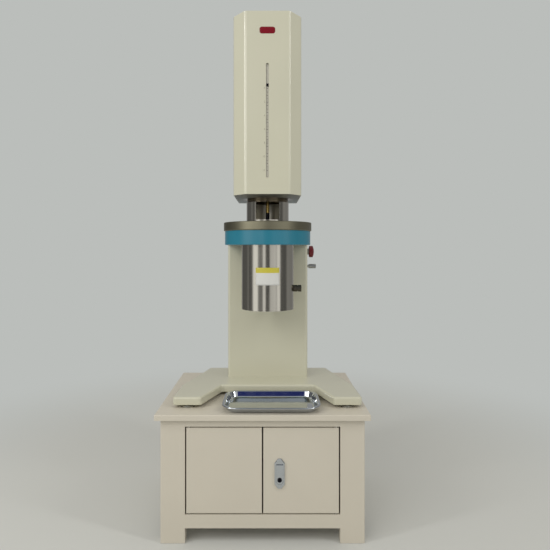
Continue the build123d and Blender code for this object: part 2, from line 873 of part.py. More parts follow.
def flange_plate():
    """Turned disc with a low boss, counterbored for the bolts and the barrel's collar."""
    plate = bar_z(axis_x, axis_y, head_top, flange_top, flange_diameter / 2)
    plate = chamfer(face_edges(plate, Axis.Z) + face_edges(plate, Axis.Z, last=False),
                    flange_edge)
    plate += bar_z(axis_x, axis_y, flange_top, boss_top, boss_diameter / 2)
    plate -= bar_z(axis_x, axis_y, head_top, boss_top, barrel_diameter / 2 + seat)
    plate -= bar_z(axis_x, axis_y, boss_top - barrel_collar_height, boss_top,
                   barrel_collar_diameter / 2 + seat)
    for x, y in bolt_places():
        plate -= bar_z(x, y, head_top, flange_top, bolt_diameter / 2 + screw_fit)
        plate -= bar_z(x, y, flange_top - bolt_sink - bolt_head_height, flange_top,
                       bolt_head_diameter / 2 + screw_fit)
    return plate


def flange_bolts():
    """Socket-head screws sunk in the flange and held in the head."""
    bolts = Part()
    head_foot = flange_top - bolt_sink - bolt_head_height
    socket = RegularPolygon(bolt_socket / 2, 6, major_radius=False)
    for x, y in bolt_places():
        bolt = bar_z(x, y, head_top - bolt_reach + seat, head_foot, bolt_diameter / 2)
        bolt += bar_z(x, y, head_foot, head_foot + bolt_head_height, bolt_head_diameter / 2)
        top = head_foot + bolt_head_height
        bolt -= upright(Pos(x, y) * socket, top - bolt_socket_depth, top)
        bolts += bolt
    return bolts


# Barrel, die and heater

def barrel():
    """Bored barrel with a collar, a funnel mouth, a seat for the die and a spigot."""
    radius = barrel_diameter / 2
    spigot_top = barrel_foot + spigot_height
    body = bar_z(axis_x, axis_y, spigot_top, boss_top - barrel_collar_height, radius)
    body += bar_z(axis_x, axis_y, boss_top - barrel_collar_height, boss_top,
                  barrel_collar_diameter / 2)
    body += bar_z(axis_x, axis_y, barrel_foot, spigot_top, spigot_diameter / 2)
    body -= bar_z(axis_x, axis_y, barrel_foot, boss_top, bore_diameter / 2)
    body -= bar_z(axis_x, axis_y, barrel_foot, die_top, die_diameter / 2 + die_fit)
    funnel = Cone(bore_diameter / 2, barrel_mouth_diameter / 2, barrel_mouth_depth)
    return body - Pos(axis_x, axis_y, boss_top - barrel_mouth_depth / 2) * funnel


def die():
    """Capillary die with a conical entry."""
    body = bar_z(axis_x, axis_y, die_foot, die_top, die_diameter / 2)
    body -= bar_z(axis_x, axis_y, die_foot, die_top, capillary_diameter / 2)
    entry = Cone(capillary_diameter / 2, die_entry_diameter / 2, die_entry_depth)
    return body - Pos(axis_x, axis_y, die_top - die_entry_depth / 2) * entry


def die_nut():
    """Hexagon cap nut over the barrel's spigot; the die stands on its floor."""
    top = barrel_foot + spigot_height - seat
    nut = upright(Pos(axis_x, axis_y) * RegularPolygon(nut_across_flats / 2, 6,
                                                       major_radius=False), nut_foot, top)
    nut -= bar_z(axis_x, axis_y, die_foot, top, spigot_diameter / 2 + running)
    return nut - bar_z(axis_x, axis_y, nut_foot, die_foot, nut_hole / 2)


def heater_bands():
    """Clamped band heaters round the barrel, each slit behind."""
    bands = Part()
    for step in range(band_count):
        foot = band_foot + step * (band_height + band_gap)
        band = bar_z(axis_x, axis_y, foot, foot + band_height, band_radius)
        band -= bar_z(axis_x, axis_y, foot, foot + band_height, barrel_diameter / 2 + running)
        band -= block(axis_x - band_split / 2, axis_x + band_split / 2,
                      axis_y, axis_y + band_radius, foot, foot + band_height)
        bands += band
    return bands


def insulation():
    """Sleeve of mineral wool between the heaters and the jacket."""
    foot, top = jacket_foot + jacket_floor, head_under - wool_end_gap
    wool = bar_z(axis_x, axis_y, foot, top, jacket_inner - seat)
    wool -= bar_z(axis_x, axis_y, foot, top, band_radius + wool_gap)
    return wool - bar_x(axis_y, port_z, axis_x, axis_x + jacket_inner, port_neck / 2 + seat)


def heater_jacket():
    """Polished sheet cup under the head, open for the die nut and the sensor gland."""
    jacket = bar_z(axis_x, axis_y, jacket_foot, head_under, jacket_diameter / 2)
    jacket -= bar_z(axis_x, axis_y, jacket_foot + jacket_floor, head_under, jacket_inner)
    jacket -= bar_z(axis_x, axis_y, jacket_foot, jacket_foot + jacket_floor, jacket_access / 2)
    return jacket - bar_x(axis_y, port_z, axis_x, axis_x + jacket_diameter / 2,
                          port_neck / 2 + seat)


def sensor_gland():
    """Bored gland from the barrel out through the jacket, grooved round its head."""
    gland = bar_x(axis_y, port_z, port_start, port_head_start, port_neck / 2)
    gland += bar_x(axis_y, port_z, port_head_start, port_end, port_head_diameter / 2)
    middle = (port_head_start + port_end) / 2
    groove = bar_x(axis_y, port_z, middle - port_groove_width / 2,
                   middle + port_groove_width / 2, port_head_diameter / 2)
    groove -= bar_x(axis_y, port_z, middle - port_groove_width / 2,
                    middle + port_groove_width / 2, port_head_diameter / 2 - port_groove_depth)
    gland -= groove
    gland -= bar_x(axis_y, port_z, port_start, port_end, port_bore / 2)
    return gland - bar_z(axis_x, axis_y, port_z - port_neck, port_z + port_neck,
                         barrel_diameter / 2 + running)


# Window tube

def window_tube():
    """Polished tube that carries the tower, cut open in front from its sill up."""
    tube = bar_z(axis_x, axis_y, boss_top, tube_top, tube_diameter / 2)
    tube -= bar_z(axis_x, axis_y, boss_top, tube_top, tube_diameter / 2 - tube_wall)
    half = window_width / 2
    return tube - block(axis_x - half, axis_x + half, axis_y - tube_diameter / 2, axis_y,
                        boss_top + tube_sill, tube_top)


# Tower structure and covers

def tower_plan():
    """Plan of the tower: bevelled in front, square behind."""
    half, face_half = tower_width / 2, tower_face / 2
    shoulder = tower_front + tower_chamfer_depth
    right = [(face_half, tower_front), (half, shoulder), (half, tower_rear)]
    left = [(-x, y) for x, y in reversed(right)]
    face = outline([(axis_x + x, y) for x, y in right + left])
    return fillet(face.vertices().sort_by(Axis.Y)[:4], tower_bend)


def drive_base_plate():
    """Plate under the drive, with the dark collar that stands on the window tube."""
    plan = offset(tower_plan(), -cover_sheet - seat, kind=Kind.INTERSECTION)
    plate = upright(plan, tower_foot, base_plate_top)
    plate -= block(axis_x - tower_width, axis_x + tower_width,
                   tower_rear - 2 * cover_sheet - seat, tower_rear, tower_foot, base_plate_top)
    plate += bar_z(axis_x, axis_y, tube_top, tower_foot, collar_diameter / 2)
    plate -= bar_z(axis_x, axis_y, tube_top, tower_foot, tube_diameter / 2 - tube_wall)
    plate -= bar_z(axis_x, axis_y, tower_foot, base_plate_top, rod_hole / 2)
    return plate - bar_z(axis_x, screw_y, base_plate_top - bearing_height, base_plate_top,
                         bearing_diameter / 2)


def drive_back_plate():
    """Spine of the tower, between the base plate and the top plate."""
    half = back_plate_width / 2
    return block(axis_x - half, axis_x + half, back_plate_front, back_plate_rear,
                 base_plate_top, top_plate_foot)


def drive_top_plate():
    """Upper plate on the spine and the guide rods; the motor stands on it."""
    half = top_plate_width / 2
    front = tower_front + top_plate_front_gap
    plate = block(axis_x - half, axis_x + half, front, back_plate_rear,
                  top_plate_foot, top_plate_top)
    corners = plate.edges().filter_by(Axis.Z).sort_by(Axis.Y)[:2]
    plate = chamfer(corners, top_plate_front_gap / 2)
    plate -= bar_z(axis_x, motor_y, top_plate_foot, top_plate_top, motor_shaft / 2 + seat)
    plate -= bar_z(axis_x, screw_y, top_plate_foot, top_plate_foot + bearing_height,
                   bearing_diameter / 2)
    return plate


def drive_cover():
    """Folded front and sides of the tower, with the pointer's slot."""
    cover = open_back_cover(tower_plan(), axis_x - tower_width / 2, axis_x + tower_width / 2,
                            tower_rear, tower_foot, tower_top - cover_sheet)
    slot = SlotOverall(slot_top - slot_foot, slot_width, rotation=90)
    return cover - forward(Pos(axis_x, (slot_foot + slot_top) / 2) * slot,
                           tower_front - seat, tower_front + cover_sheet + seat)


def drive_rear_panel():
    """Back of the tower."""
    return rear_panel(axis_x - tower_width / 2, axis_x + tower_width / 2, tower_rear,
                      tower_foot, tower_top - cover_sheet)


def drive_lid():
    """Flat lid on the folded cover, eased at its upper edge."""
    lid = upright(tower_plan(), tower_top - cover_sheet, tower_top)
    return fillet(face_edges(lid, Axis.Z), cover_sheet / 2)


def scale_strip():
    """Strip behind the slot that carries the scale, with a standoff at each end."""
    front = tower_front + cover_sheet + strip_setback
    foot, top = slot_foot - strip_width, slot_top + strip_width
    half = strip_width / 2
    strip = block(axis_x - half, axis_x + half, front, front + strip_thick, foot, top)
    for z0 in (foot, top - half):
        strip += block(axis_x - half, axis_x + half, tower_front + cover_sheet, front,
                       z0, z0 + half)
    return strip


# Piston drive

def guide_rods():
    """Two rods between the plates."""
    radius = guide_diameter / 2
    left = bar_z(axis_x - guide_half, guide_y, base_plate_top, top_plate_foot, radius)
    return left + bar_z(axis_x + guide_half, guide_y, base_plate_top, top_plate_foot, radius)


def toothed(x, y, z0, z1, teeth, radius):
    """Pulley rim with square teeth round it."""
    rim = bar_z(x, y, z0, z1, radius - pulley_tooth_depth)
    pitch_angle = 360 / teeth
    tooth = block(0, radius, -pulley_teeth_pitch / 4, pulley_teeth_pitch / 4, z0, z1)
    tooth &= bar_z(0, 0, z0, z1, radius)
    for step in range(teeth):
        rim += Pos(x, y, 0) * Rot(0, 0, step * pitch_angle) * tooth
    return rim


def lead_screw():
    """Screw between its bearings, with the driven pulley keyed on its upper end."""
    z0, z1 = base_plate_top + seat, belt_foot
    journal = journal_diameter / 2
    screw = bar_z(axis_x, screw_y, z0, z1, screw_diameter / 2)
    screw += bar_z(axis_x, screw_y, base_plate_top - bearing_height + seat, z0, journal)
    screw += toothed(axis_x, screw_y, belt_foot, belt_top, screw_pulley_teeth,
                     screw_pulley_radius)
    return screw + bar_z(axis_x, screw_y, belt_top, top_plate_foot + bearing_height - seat,
                         journal)


def screw_bearings():
    """Two rings that hold the screw's journals."""
    rings = Part()
    for z0 in (base_plate_top - bearing_height, top_plate_foot):
        ring = bar_z(axis_x, screw_y, z0, z0 + bearing_height, bearing_diameter / 2)
        rings += ring - bar_z(axis_x, screw_y, z0, z0 + bearing_height,
                              journal_diameter / 2 + running)
    return rings


def crosshead():
    """Moving block on the guide rods, bored for the screw nut."""
    half = crosshead_width / 2
    front, rear = axis_y - crosshead_front_reach, axis_y + crosshead_rear_reach
    head = block(axis_x - half, axis_x + half, front, rear, crosshead_foot, crosshead_top)
    head = chamfer(head.edges().filter_by(Axis.Z), crosshead_corner)
    for side in (-guide_half, guide_half):
        head -= bar_z(axis_x + side, guide_y, crosshead_foot, crosshead_top,
                      guide_diameter / 2 + running)
    return head - bar_z(axis_x, screw_y, crosshead_foot, crosshead_top,
                        nut_body_diameter / 2)


def screw_nut():
    """Flanged nut under the crosshead, round the screw."""
    nut = bar_z(axis_x, screw_y, crosshead_foot, crosshead_top, nut_body_diameter / 2)
    nut += bar_z(axis_x, screw_y, crosshead_foot - nut_flange_thick, crosshead_foot,
                 nut_flange_diameter / 2)
    return nut - bar_z(axis_x, screw_y, crosshead_foot - nut_flange_thick, crosshead_top,
                       screw_diameter / 2 + running)


def pointer():
    """Arm from the crosshead past the strip, with a tab and a round tip in the slot."""
    strip_front = tower_front + cover_sheet + strip_setback
    inside = strip_front - pointer_tab - seat
    near = axis_x + strip_width / 2 + pointer_arm_gap
    tall = pointer_tab_height / 2
    arm = block(near, near + pointer_arm, inside, axis_y - crosshead_front_reach,
                pointer_z - tall, pointer_z + tall)
    arm += block(axis_x, near, inside, inside + pointer_tab, pointer_z - tall,
                 pointer_z + tall)
    return arm + bar_y(axis_x, pointer_z, tower_front + cover_sheet / 2, inside + pointer_tab,
                       pointer_diameter / 2)


def load_cell():
    """Round cell under the crosshead, waisted where it strains."""
    cell = bar_z(axis_x, axis_y, load_cell_foot, crosshead_foot, load_cell_diameter / 2)
    third = load_cell_height / 3
    waist = bar_z(axis_x, axis_y, load_cell_foot + third, crosshead_foot - third,
                  load_cell_diameter / 2)
    waist -= bar_z(axis_x, axis_y, load_cell_foot + third, crosshead_foot - third,
                   load_cell_diameter / 2 - load_cell_groove)
    return cell - waist


def piston_rod():
    """Adapter under the load cell and the long rod down through the base plate."""
    rod = bar_z(axis_x, axis_y, adapter_foot, load_cell_foot, adapter_diameter / 2)
    rod = chamfer(face_edges(rod, Axis.Z, last=False), adapter_edge)
    return rod + bar_z(axis_x, axis_y, piston_tip + piston_head_height, adapter_foot,
                       rod_diameter / 2)


def piston_head():
    """Ground head that seals in the barrel, eased at its tip."""
    head = bar_z(axis_x, axis_y, piston_tip, piston_tip + piston_head_height,
                 bore_diameter / 2 - piston_fit)
    return chamfer(face_edges(head, Axis.Z, last=False), piston_tip_edge)


def servo_motor():
    """Square motor on its flange, bored for the shaft."""
    half, flange = motor_side / 2, motor_flange / 2
    flange_top_z = top_plate_top + motor_flange_thick
    body = block(axis_x - half, axis_x + half, motor_y - half, motor_y + half,
                 flange_top_z, motor_top)
    body = fillet(body.edges().filter_by(Axis.Z), motor_corner)
    body += block(axis_x - flange, axis_x + flange, motor_y - half, motor_y + half,
                  top_plate_top, flange_top_z)
    return body - bar_z(axis_x, motor_y, top_plate_top, flange_top_z + motor_flange_thick,
                        motor_shaft / 2 + running)


def motor_pulley():
    """Driving pulley on the motor's shaft."""
    pulley = toothed(axis_x, motor_y, belt_foot, belt_top, motor_pulley_teeth,
                     motor_pulley_radius)
    return pulley + bar_z(axis_x, motor_y, belt_top,
                          top_plate_top + 2 * motor_flange_thick - seat, motor_shaft / 2)


def belt_loop(grow):
    """Plan of the belt's loop round both pulleys, grown outwards."""
    span = screw_y - motor_y
    front, back = motor_pulley_radius + grow, screw_pulley_radius + grow
    lean = (back - front) / span
    across = (1 - lean * lean) ** 0.5
    face = Pos(axis_x, motor_y) * Circle(front) + Pos(axis_x, screw_y) * Circle(back)
    tangents = [(front * across, motor_y - front * lean), (back * across, screw_y - back * lean)]
    left = [(-x, y) for x, y in reversed(tangents)]
    return face + outline([(axis_x + x, y) for x, y in tangents + left])


def drive_belt():
    """Flat belt round both pulleys."""
    belt = upright(belt_loop(seat + belt_thick), belt_foot, belt_top)
    return belt - upright(belt_loop(seat), belt_foot, belt_top)


def column_parts():
    """The column and what is fixed on it."""
    return {"column_beam": column_beam(), "column_cover": column_cover(),
            "column_rear_panel": column_rear_panel(), "power_inlet": power_inlet(),
            "estop_collar": estop_collar(), "estop_button": estop_button(),
            "jog_knob": jog_knob()}


def cabinet_parts():
    """The cabinet, its doors with their lock, and the tray."""
    return {"cabinet_top": cabinet_top(), "front_stile_left": front_stile(-1),
            "front_stile_right": front_stile(1), "rear_posts": rear_posts(),
            "front_top_rail": front_top_rail(), "front_bottom_rail": front_bottom_rail(),
            "side_panel_left": side_panel(-1), "side_panel_right": side_panel(1),
            "back_panel": back_panel(), "cabinet_floor": cabinet_floor(),
            "door_left": door_leaf(-1), "door_right": door_right(),
            "door_pivots": door_pivots(), "handle_plate": handle_plate(),
            "handle_paddle": handle_paddle(), "lock_cylinder": lock_cylinder(),
            "lock_cam": lock_cam(), "sample_tray": sample_tray()}


def base_parts():
    """The casting and its feet."""
    feet = {"levelling_foot_" + name: levelling_foot(x, y) for name, x, y in foot_places()}
    return {"base_casting": base_casting(), **feet}


def heating_parts():
    """The head, the barrel and everything round it."""
    return {"head_casting": head_casting(), "flange_plate": flange_plate(),
            "flange_bolts": flange_bolts(), "barrel": barrel(), "die": die(),
            "die_nut": die_nut(), "heater_bands": heater_bands(), "insulation": insulation(),
            "heater_jacket": heater_jacket(), "sensor_gland": sensor_gland(),
            "window_tube": window_tube()}


def drive_parts():
    """The tower and the piston drive in it."""
    return {"drive_base_plate": drive_base_plate(), "drive_back_plate": drive_back_plate(),
            "drive_top_plate": drive_top_plate(), "drive_cover": drive_cover(),
            "drive_rear_panel": drive_rear_panel(), "drive_lid": drive_lid(),
            "scale_strip": scale_strip(), "guide_rods": guide_rods(),
            "lead_screw": lead_screw(), "screw_bearings": screw_bearings(),
            "crosshead": crosshead(), "screw_nut": screw_nut(), "pointer": pointer(),
            "load_cell": load_cell(), "piston_rod": piston_rod(),
            "piston_head": piston_head(), "servo_motor": servo_motor(),
            "motor_pulley": motor_pulley(), "drive_belt": drive_belt()}


os.makedirs("parts", exist_ok=True)
for group in (cabinet_parts(), base_parts(), column_parts(), heating_parts(), drive_parts()):
    for name, shape in group.items():
        export_step(shape, "parts/" + name + ".step")
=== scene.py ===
"""Finishes a capillary rheometer and stands it on a plain stage.

The machine stands on the floor with its front towards -Y. Every length is in metres.
"""

import json
from math import atan2, cos, pi, radians, sin, tan

import bmesh
import bpy
import numpy as np
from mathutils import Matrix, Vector


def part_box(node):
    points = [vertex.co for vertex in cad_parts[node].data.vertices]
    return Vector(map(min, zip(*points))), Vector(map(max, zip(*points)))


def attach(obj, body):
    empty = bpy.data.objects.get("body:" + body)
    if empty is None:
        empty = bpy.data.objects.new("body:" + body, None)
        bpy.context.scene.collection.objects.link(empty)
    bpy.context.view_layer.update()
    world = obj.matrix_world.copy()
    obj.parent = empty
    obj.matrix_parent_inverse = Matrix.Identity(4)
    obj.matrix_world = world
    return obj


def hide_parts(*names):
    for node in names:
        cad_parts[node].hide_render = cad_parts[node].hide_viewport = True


bl_info = {
    "name": "Capillary rheometer",
    "version": (1, 0, 0),
    "blender": (4, 5, 0),
    "location": "View3D > Sidebar > Rheometer",
    "description": "Finishes, small pieces and a stage for a capillary rheometer",
    "category": "Object",
}

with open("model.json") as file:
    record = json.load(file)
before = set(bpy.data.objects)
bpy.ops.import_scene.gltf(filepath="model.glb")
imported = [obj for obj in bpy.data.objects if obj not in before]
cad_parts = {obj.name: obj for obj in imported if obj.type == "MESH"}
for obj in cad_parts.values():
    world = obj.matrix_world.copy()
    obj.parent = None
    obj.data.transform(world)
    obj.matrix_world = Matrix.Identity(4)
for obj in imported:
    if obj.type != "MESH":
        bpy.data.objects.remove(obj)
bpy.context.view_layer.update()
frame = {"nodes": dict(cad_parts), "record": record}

MM = 0.001


def box_of(node):
    """Lowest and highest corner of one of the machine's nodes, as two arrays."""
    low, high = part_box(node)
    return np.array(low), np.array(high)


jacket_low, jacket_high = box_of("heater_jacket")
tray_low, tray_high = box_of("sample_tray")
pointer_low, pointer_high = box_of("pointer")
tower_front = box_of("drive_cover")[0][1]
AXIS_X, AXIS_Y = (jacket_low + jacket_high)[:2] / 2


def linear(code):
    """Linear red, green and blue of an sRGB hex colour such as C8C2AC."""
    value = np.array([int(code[i:i + 2], 16) for i in (0, 2, 4)]) / 255
    return tuple(np.where(value <= 0.04045, value / 12.92, ((value + 0.055) / 1.055) ** 2.4))


def colour(code, name, description):
    """Property for a colour that a user may change, from its sRGB hex value."""
    return bpy.props.FloatVectorProperty(
        name=name, description=description, subtype="COLOR", size=3, min=0.0, max=1.0,
        default=linear(code))


def length(value, name, description):
    """Property for a length in metres."""
    return bpy.props.FloatProperty(
        name=name, description=description, unit="LENGTH", default=float(value), min=0.0,
        precision=4)


class RheometerPaint(bpy.types.PropertyGroup):
    """Colours of the paints and plastics."""

    cabinet: colour("D0C9BA", "Cabinet", "Powder coat on the cabinet")
    machine: colour("CBC9B4", "Machine", "Enamel on the base, column and tower")
    head: colour("1C788F", "Head", "Enamel on the round head")
    stop: colour("6E1019", "Stop button", "Plastic of the emergency stop")
    badge: colour("7E1A22", "Badge", "Resin of the plain badge")
    label_band: colour("C9BD3C", "Label band", "Band across the top of the bare label")
    label_field: colour("D6D6D2", "Label field", "Field of the bare label")
    # Partly the strip's own ivory, partly painted light: drawn lighter to cancel the shade in
    # the recessed slot.
    scale: colour("F4F1E4", "Scale", "Ivory strip behind the slot")
    ink: colour("7C7868", "Ink", "Printed scale marks")


class RheometerMetal(bpy.types.PropertyGroup):
    """Colours and polish of the bare metals."""

    polished: colour("CAC6BA", "Polished steel", "Jacket, window tube and tray")
    turned: colour("8E8A75", "Turned steel", "Flange plate")
    machined: colour("A6A49C", "Machined steel", "Plates, barrel and feet")
    chrome: colour("C7CBD0", "Chrome plate", "Door handle and lock")
    # The gland's dark grey is a painted reflection: the dark room that its polished steel would
    # mirror, painted into its colour.
    gland: colour("5A564C", "Sensor gland", "Gland steel, darkened with a painted reflection")
    collar: colour("746A58", "Collar", "Turned collar under the tower")
    bronze: colour("B39A5B", "Bronze", "Piston rod and screw nut")
    aluminium: colour("B4B4B0", "Aluminium", "Crosshead, knob and pulley")
    jacket_roughness: bpy.props.FloatProperty(
        name="Jacket roughness", description="Blur of what the jacket mirrors",
        default=0.13, min=0.02, max=1.0, subtype="FACTOR")


class RheometerDetail(bpy.types.PropertyGroup):
    """Sizes of the small pieces."""

    tick_pitch: length(10 * MM, "Tick pitch", "Distance between two marks of the scale")
    tick_height: length(1.3 * MM, "Tick height", "Thickness of a mark")
    digit_height: length(5.5 * MM, "Digit height", "Height of the scale's numbers")
    label_width: length(76 * MM, "Label width", "Width of the bare label, round the jacket")
    label_height: length(55 * MM, "Label height", "Height of the bare label")
    band_height: length(16.5 * MM, "Band height", "Height of the label's coloured band")
    label_z: length(777 * MM, "Label place", "Height of the label's middle over the floor")
    badge_width: length(46 * MM, "Badge width", "Width of the plain badge")
    badge_height: length(20 * MM, "Badge height", "Height of the plain badge")
    badge_z: length(1503 * MM, "Badge place", "Height of the badge's middle over the floor")
    screw_diameter: length(8 * MM, "Screw head", "Diameter of a panel screw's head")


class RheometerStage(bpy.types.PropertyGroup):
    """Floor, light and camera."""

    wall: colour("BBBEBB", "Backdrop", "Plain pale colour behind the machine")
    floor: colour("CCCDC9", "Floor", "Plain pale floor")
    ambient: bpy.props.FloatProperty(
        name="Ambient", description="Strength of the even light from all round",
        default=0.58, min=0.0, max=2.0)
    key_watts: bpy.props.FloatProperty(
        name="Key", description="Power of the large lamp at the front left", default=19.0,
        min=0.0)
    strip_watts: bpy.props.FloatProperty(
        name="Strips", description="Power of each upright lamp at the front", default=14.0,
        min=0.0)
    camera_distance: length(1.7, "Camera distance", "Camera in front of the machine's middle")
    camera_height: length(0.866, "Camera height", "Camera over the floor")
    lens: bpy.props.FloatProperty(
        name="Lens", description="Focal length on a 36 mm wide sensor", default=32.7, min=10.0,
        unit="CAMERA")


# Nodes and meshes

FACTOR, FIRST, SECOND, MIXED = 0, 6, 7, 2  # sockets of a Mix node that mixes colours


def add_node(tree, kind, inputs=None, **settings):
    """Adds a node; each input is a value, or the output socket that feeds it."""
    node = tree.nodes.new(kind)
    for name, value in settings.items():
        setattr(node, name, value)
    for socket, value in (inputs or {}).items():
        if isinstance(value, bpy.types.NodeSocket):
            tree.links.new(value, node.inputs[socket])
        else:
            node.inputs[socket].default_value = value
    return node


def new_tree(name):
    """Empty material of that name and its node tree."""
    material = bpy.data.materials.new(name)
    material.use_nodes = True
    material.node_tree.nodes.clear()
    return material, material.node_tree


def end_material(material, shader):
    """Joins the last shader to the material's output."""
    add_node(material.node_tree, "ShaderNodeOutputMaterial", {"Surface": shader.outputs[0]})
    return material


def opaque(rgb):
    """Colour with full opacity for a socket."""
    return (*rgb[:3], 1.0)


def shade(rgb, factor):
    """The same colour, lighter or darker."""
    return opaque([min(1.0, channel * factor) for channel in rgb[:3]])


def set_ramp(node, stops):
    """Gives a colour ramp its stops, each a place and a grey."""
    ramp = node.color_ramp
    while len(ramp.elements) > 1:
        ramp.elements.remove(ramp.elements[-1])
    for step, (place, grey) in enumerate(stops):
        element = ramp.elements[0] if step == 0 else ramp.elements.new(place)
        element.position = place
        element.color = opaque((grey, grey, grey))
    return node


def drift(tree, coordinates, size, low, high):
    """Slow change from one value to another over patches of a size, as one socket."""
    cloud = add_node(tree, "ShaderNodeTexNoise",
                     {"Vector": coordinates, "Scale": 1 / size, "Detail": 3.0})
    return add_node(tree, "ShaderNodeMapRange",
                    {"Value": cloud.outputs[0], "From Min": 0.2, "From Max": 0.8,
                     "To Min": low, "To Max": high}).outputs[0]


def from_axis(tree, place):
    """A place counted from the load axis, and its distance from that axis, as two sockets."""
    centred = add_node(tree, "ShaderNodeMapping",
                       {"Vector": place, "Location": (-AXIS_X, -AXIS_Y, 0.0)}).outputs[0]
    part = add_node(tree, "ShaderNodeSeparateXYZ", {"Vector": centred}).outputs
    flat = add_node(tree, "ShaderNodeCombineXYZ", {"X": part["X"], "Y": part["Y"]}).outputs[0]
    radius = add_node(tree, "ShaderNodeVectorMath", {0: flat}, operation="LENGTH")
    return centred, radius.outputs["Value"]


def new_item(name, points, faces, material):
    """Mesh object in the scene, from an array of points and the faces between them."""
    mesh = bpy.data.meshes.new(name)
    mesh.from_pydata(points.reshape(-1, 3), [], faces)
    mesh.materials.append(material)
    item = bpy.data.objects.new(name, mesh)
    bpy.context.scene.collection.objects.link(item)
    return item


def piece(name, points, faces, material, body, slot, smooth=True):
    """Makes a mesh object, closes its seams and puts it on a body."""
    item = new_item(name, points, faces, material)
    mesh = item.data
    solid = bmesh.new()
    solid.from_mesh(mesh)
    bmesh.ops.remove_doubles(solid, verts=solid.verts, dist=1e-6)
    bmesh.ops.dissolve_degenerate(solid, edges=solid.edges, dist=1e-7)
    bmesh.ops.recalc_face_normals(solid, faces=solid.faces)
    solid.to_mesh(mesh)
    solid.free()
    mesh.polygons.foreach_set("use_smooth", np.full(len(mesh.polygons), smooth))
    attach(item, body)
    return item


def grid_faces(rows, columns, wrap=False):
    """Four-cornered faces between the points of a grid, joined round each row if asked."""
    last = columns if wrap else columns - 1
    row, column = np.meshgrid(np.arange(rows - 1), np.arange(last), indexing="ij")
    following = (column + 1) % columns
    return np.stack([row * columns + column, row * columns + following,
                     (row + 1) * columns + following, (row + 1) * columns + column],
                    axis=-1).reshape(-1, 4)


def rounded_path(corners, radii, steps=8):
    """Run of straight lines with each inner corner turned on an arc.

    An arc of radius r that turns by an angle a starts r tan(a / 2) before the corner.
    """
    corners = np.array(corners, float)
    parts = [corners[:1]]
    for before, corner, after, radius in zip(corners, corners[1:], corners[2:], radii):
        into = (corner - before) / np.linalg.norm(corner - before)
        out = (after - corner) / np.linalg.norm(after - corner)
        turn = atan2(into[0] * out[1] - into[1] * out[0], into @ out)
        start = corner - into * radius * abs(tan(turn / 2))
        normal = np.array([-into[1], into[0]]) * (1 if turn > 0 else -1)
        angle = np.linspace(0, abs(turn), steps)[:, None]
        parts.append(start + radius * (into * np.sin(angle) + normal * (1 - np.cos(angle))))
    parts.append(corners[-1:])
    return np.concatenate(parts)


def boxes(centres, sizes):
    """Corners and faces of many blocks at once: each corner is centre plus half a size."""
    signs = np.array([(x, y, z) for x in (-1, 1) for y in (-1, 1) for z in (-1, 1)], float)
    points = centres[:, None, :] + signs[None] * sizes[:, None, :] / 2
    sides = np.array([(0, 1, 3, 2), (4, 6, 7, 5), (0, 4, 5, 1), (2, 3, 7, 6), (0, 2, 6, 4),
                      (1, 5, 7, 3)])
    faces = sides[None] + 8 * np.arange(len(centres))[:, None, None]
    return points, faces.reshape(-1, 4)


# Finishes

BORED_ROUGHNESS = 0.36  # satin that a boring tool leaves


def sprayed_paint(name, rgb, roughness, peel, gloss):
    """Powder coat or enamel, sprayed on sheet or cast iron and baked.

    Baked paint keeps a faint orange peel about 2 mm across. It is drawn with ripples a
    little wider so that it shows, and its gloss drifts slowly over a panel.
    """
    material, tree = new_tree(name)
    place = add_node(tree, "ShaderNodeTexCoord").outputs["Object"]
    tone = drift(tree, place, 220 * MM, 0.0, 1.0)
    base = add_node(tree, "ShaderNodeMix",
                    {FACTOR: tone, FIRST: shade(rgb, 0.965), SECOND: shade(rgb, 1.02)},
                    data_type="RGBA").outputs[MIXED]
    ripple = add_node(tree, "ShaderNodeTexNoise",
                      {"Vector": place, "Scale": 1 / (4 * MM), "Detail": 2.0}).outputs[0]
    swell = add_node(tree, "ShaderNodeTexNoise",
                     {"Vector": place, "Scale": 1 / (90 * MM), "Detail": 1.0}).outputs[0]
    fine = add_node(tree, "ShaderNodeBump",
                    {"Height": ripple, "Strength": peel, "Distance": 0.05 * MM})
    wide = add_node(tree, "ShaderNodeBump",
                    {"Height": swell, "Strength": 0.3, "Distance": 0.8 * MM,
                     "Normal": fine.outputs[0]})
    rough = drift(tree, place, 60 * MM, roughness - 0.03, roughness + 0.04)
    shader = add_node(tree, "ShaderNodeBsdfPrincipled",
                      {"Base Color": base, "Roughness": rough, "IOR": 1.5,
                       "Coat Weight": gloss, "Coat Roughness": 0.12,
                       "Normal": wide.outputs[0]})
    return end_material(material, shader)


def lathe_steel(name, rgb, roughness, groove):
    """Steel turned on a lathe: fine rings round the axis, brighter and darker by turns.

    The rings follow the distance from the axis on a face, and the height on a rim. Real
    feed marks are about 0.2 mm; they are drawn several times wider so that they show.
    """
    material, tree = new_tree(name)
    place = add_node(tree, "ShaderNodeTexCoord").outputs["Object"]
    centred, radius = from_axis(tree, place)
    height = add_node(tree, "ShaderNodeSeparateXYZ", {"Vector": centred}).outputs["Z"]
    ring = add_node(tree, "ShaderNodeCombineXYZ", {"X": radius, "Y": height}).outputs[0]
    lines = add_node(tree, "ShaderNodeTexNoise",
                     {"Vector": ring, "Scale": 1 / groove, "Detail": 4.0}).outputs[0]
    base = add_node(tree, "ShaderNodeMix",
                    {FACTOR: lines, FIRST: shade(rgb, 0.82), SECOND: shade(rgb, 1.12)},
                    data_type="RGBA").outputs[MIXED]
    rough = add_node(tree, "ShaderNodeMapRange",
                     {"Value": lines, "To Min": roughness - 0.06,
                      "To Max": roughness + 0.08}).outputs[0]
    bump = add_node(tree, "ShaderNodeBump",
                    {"Height": lines, "Strength": 0.35, "Distance": 0.08 * MM}).outputs[0]
    shader = add_node(tree, "ShaderNodeBsdfPrincipled",
                      {"Base Color": base, "Metallic": 1.0, "Roughness": rough,
                       "Anisotropic": 0.5, "Normal": bump})
    return end_material(material, shader)


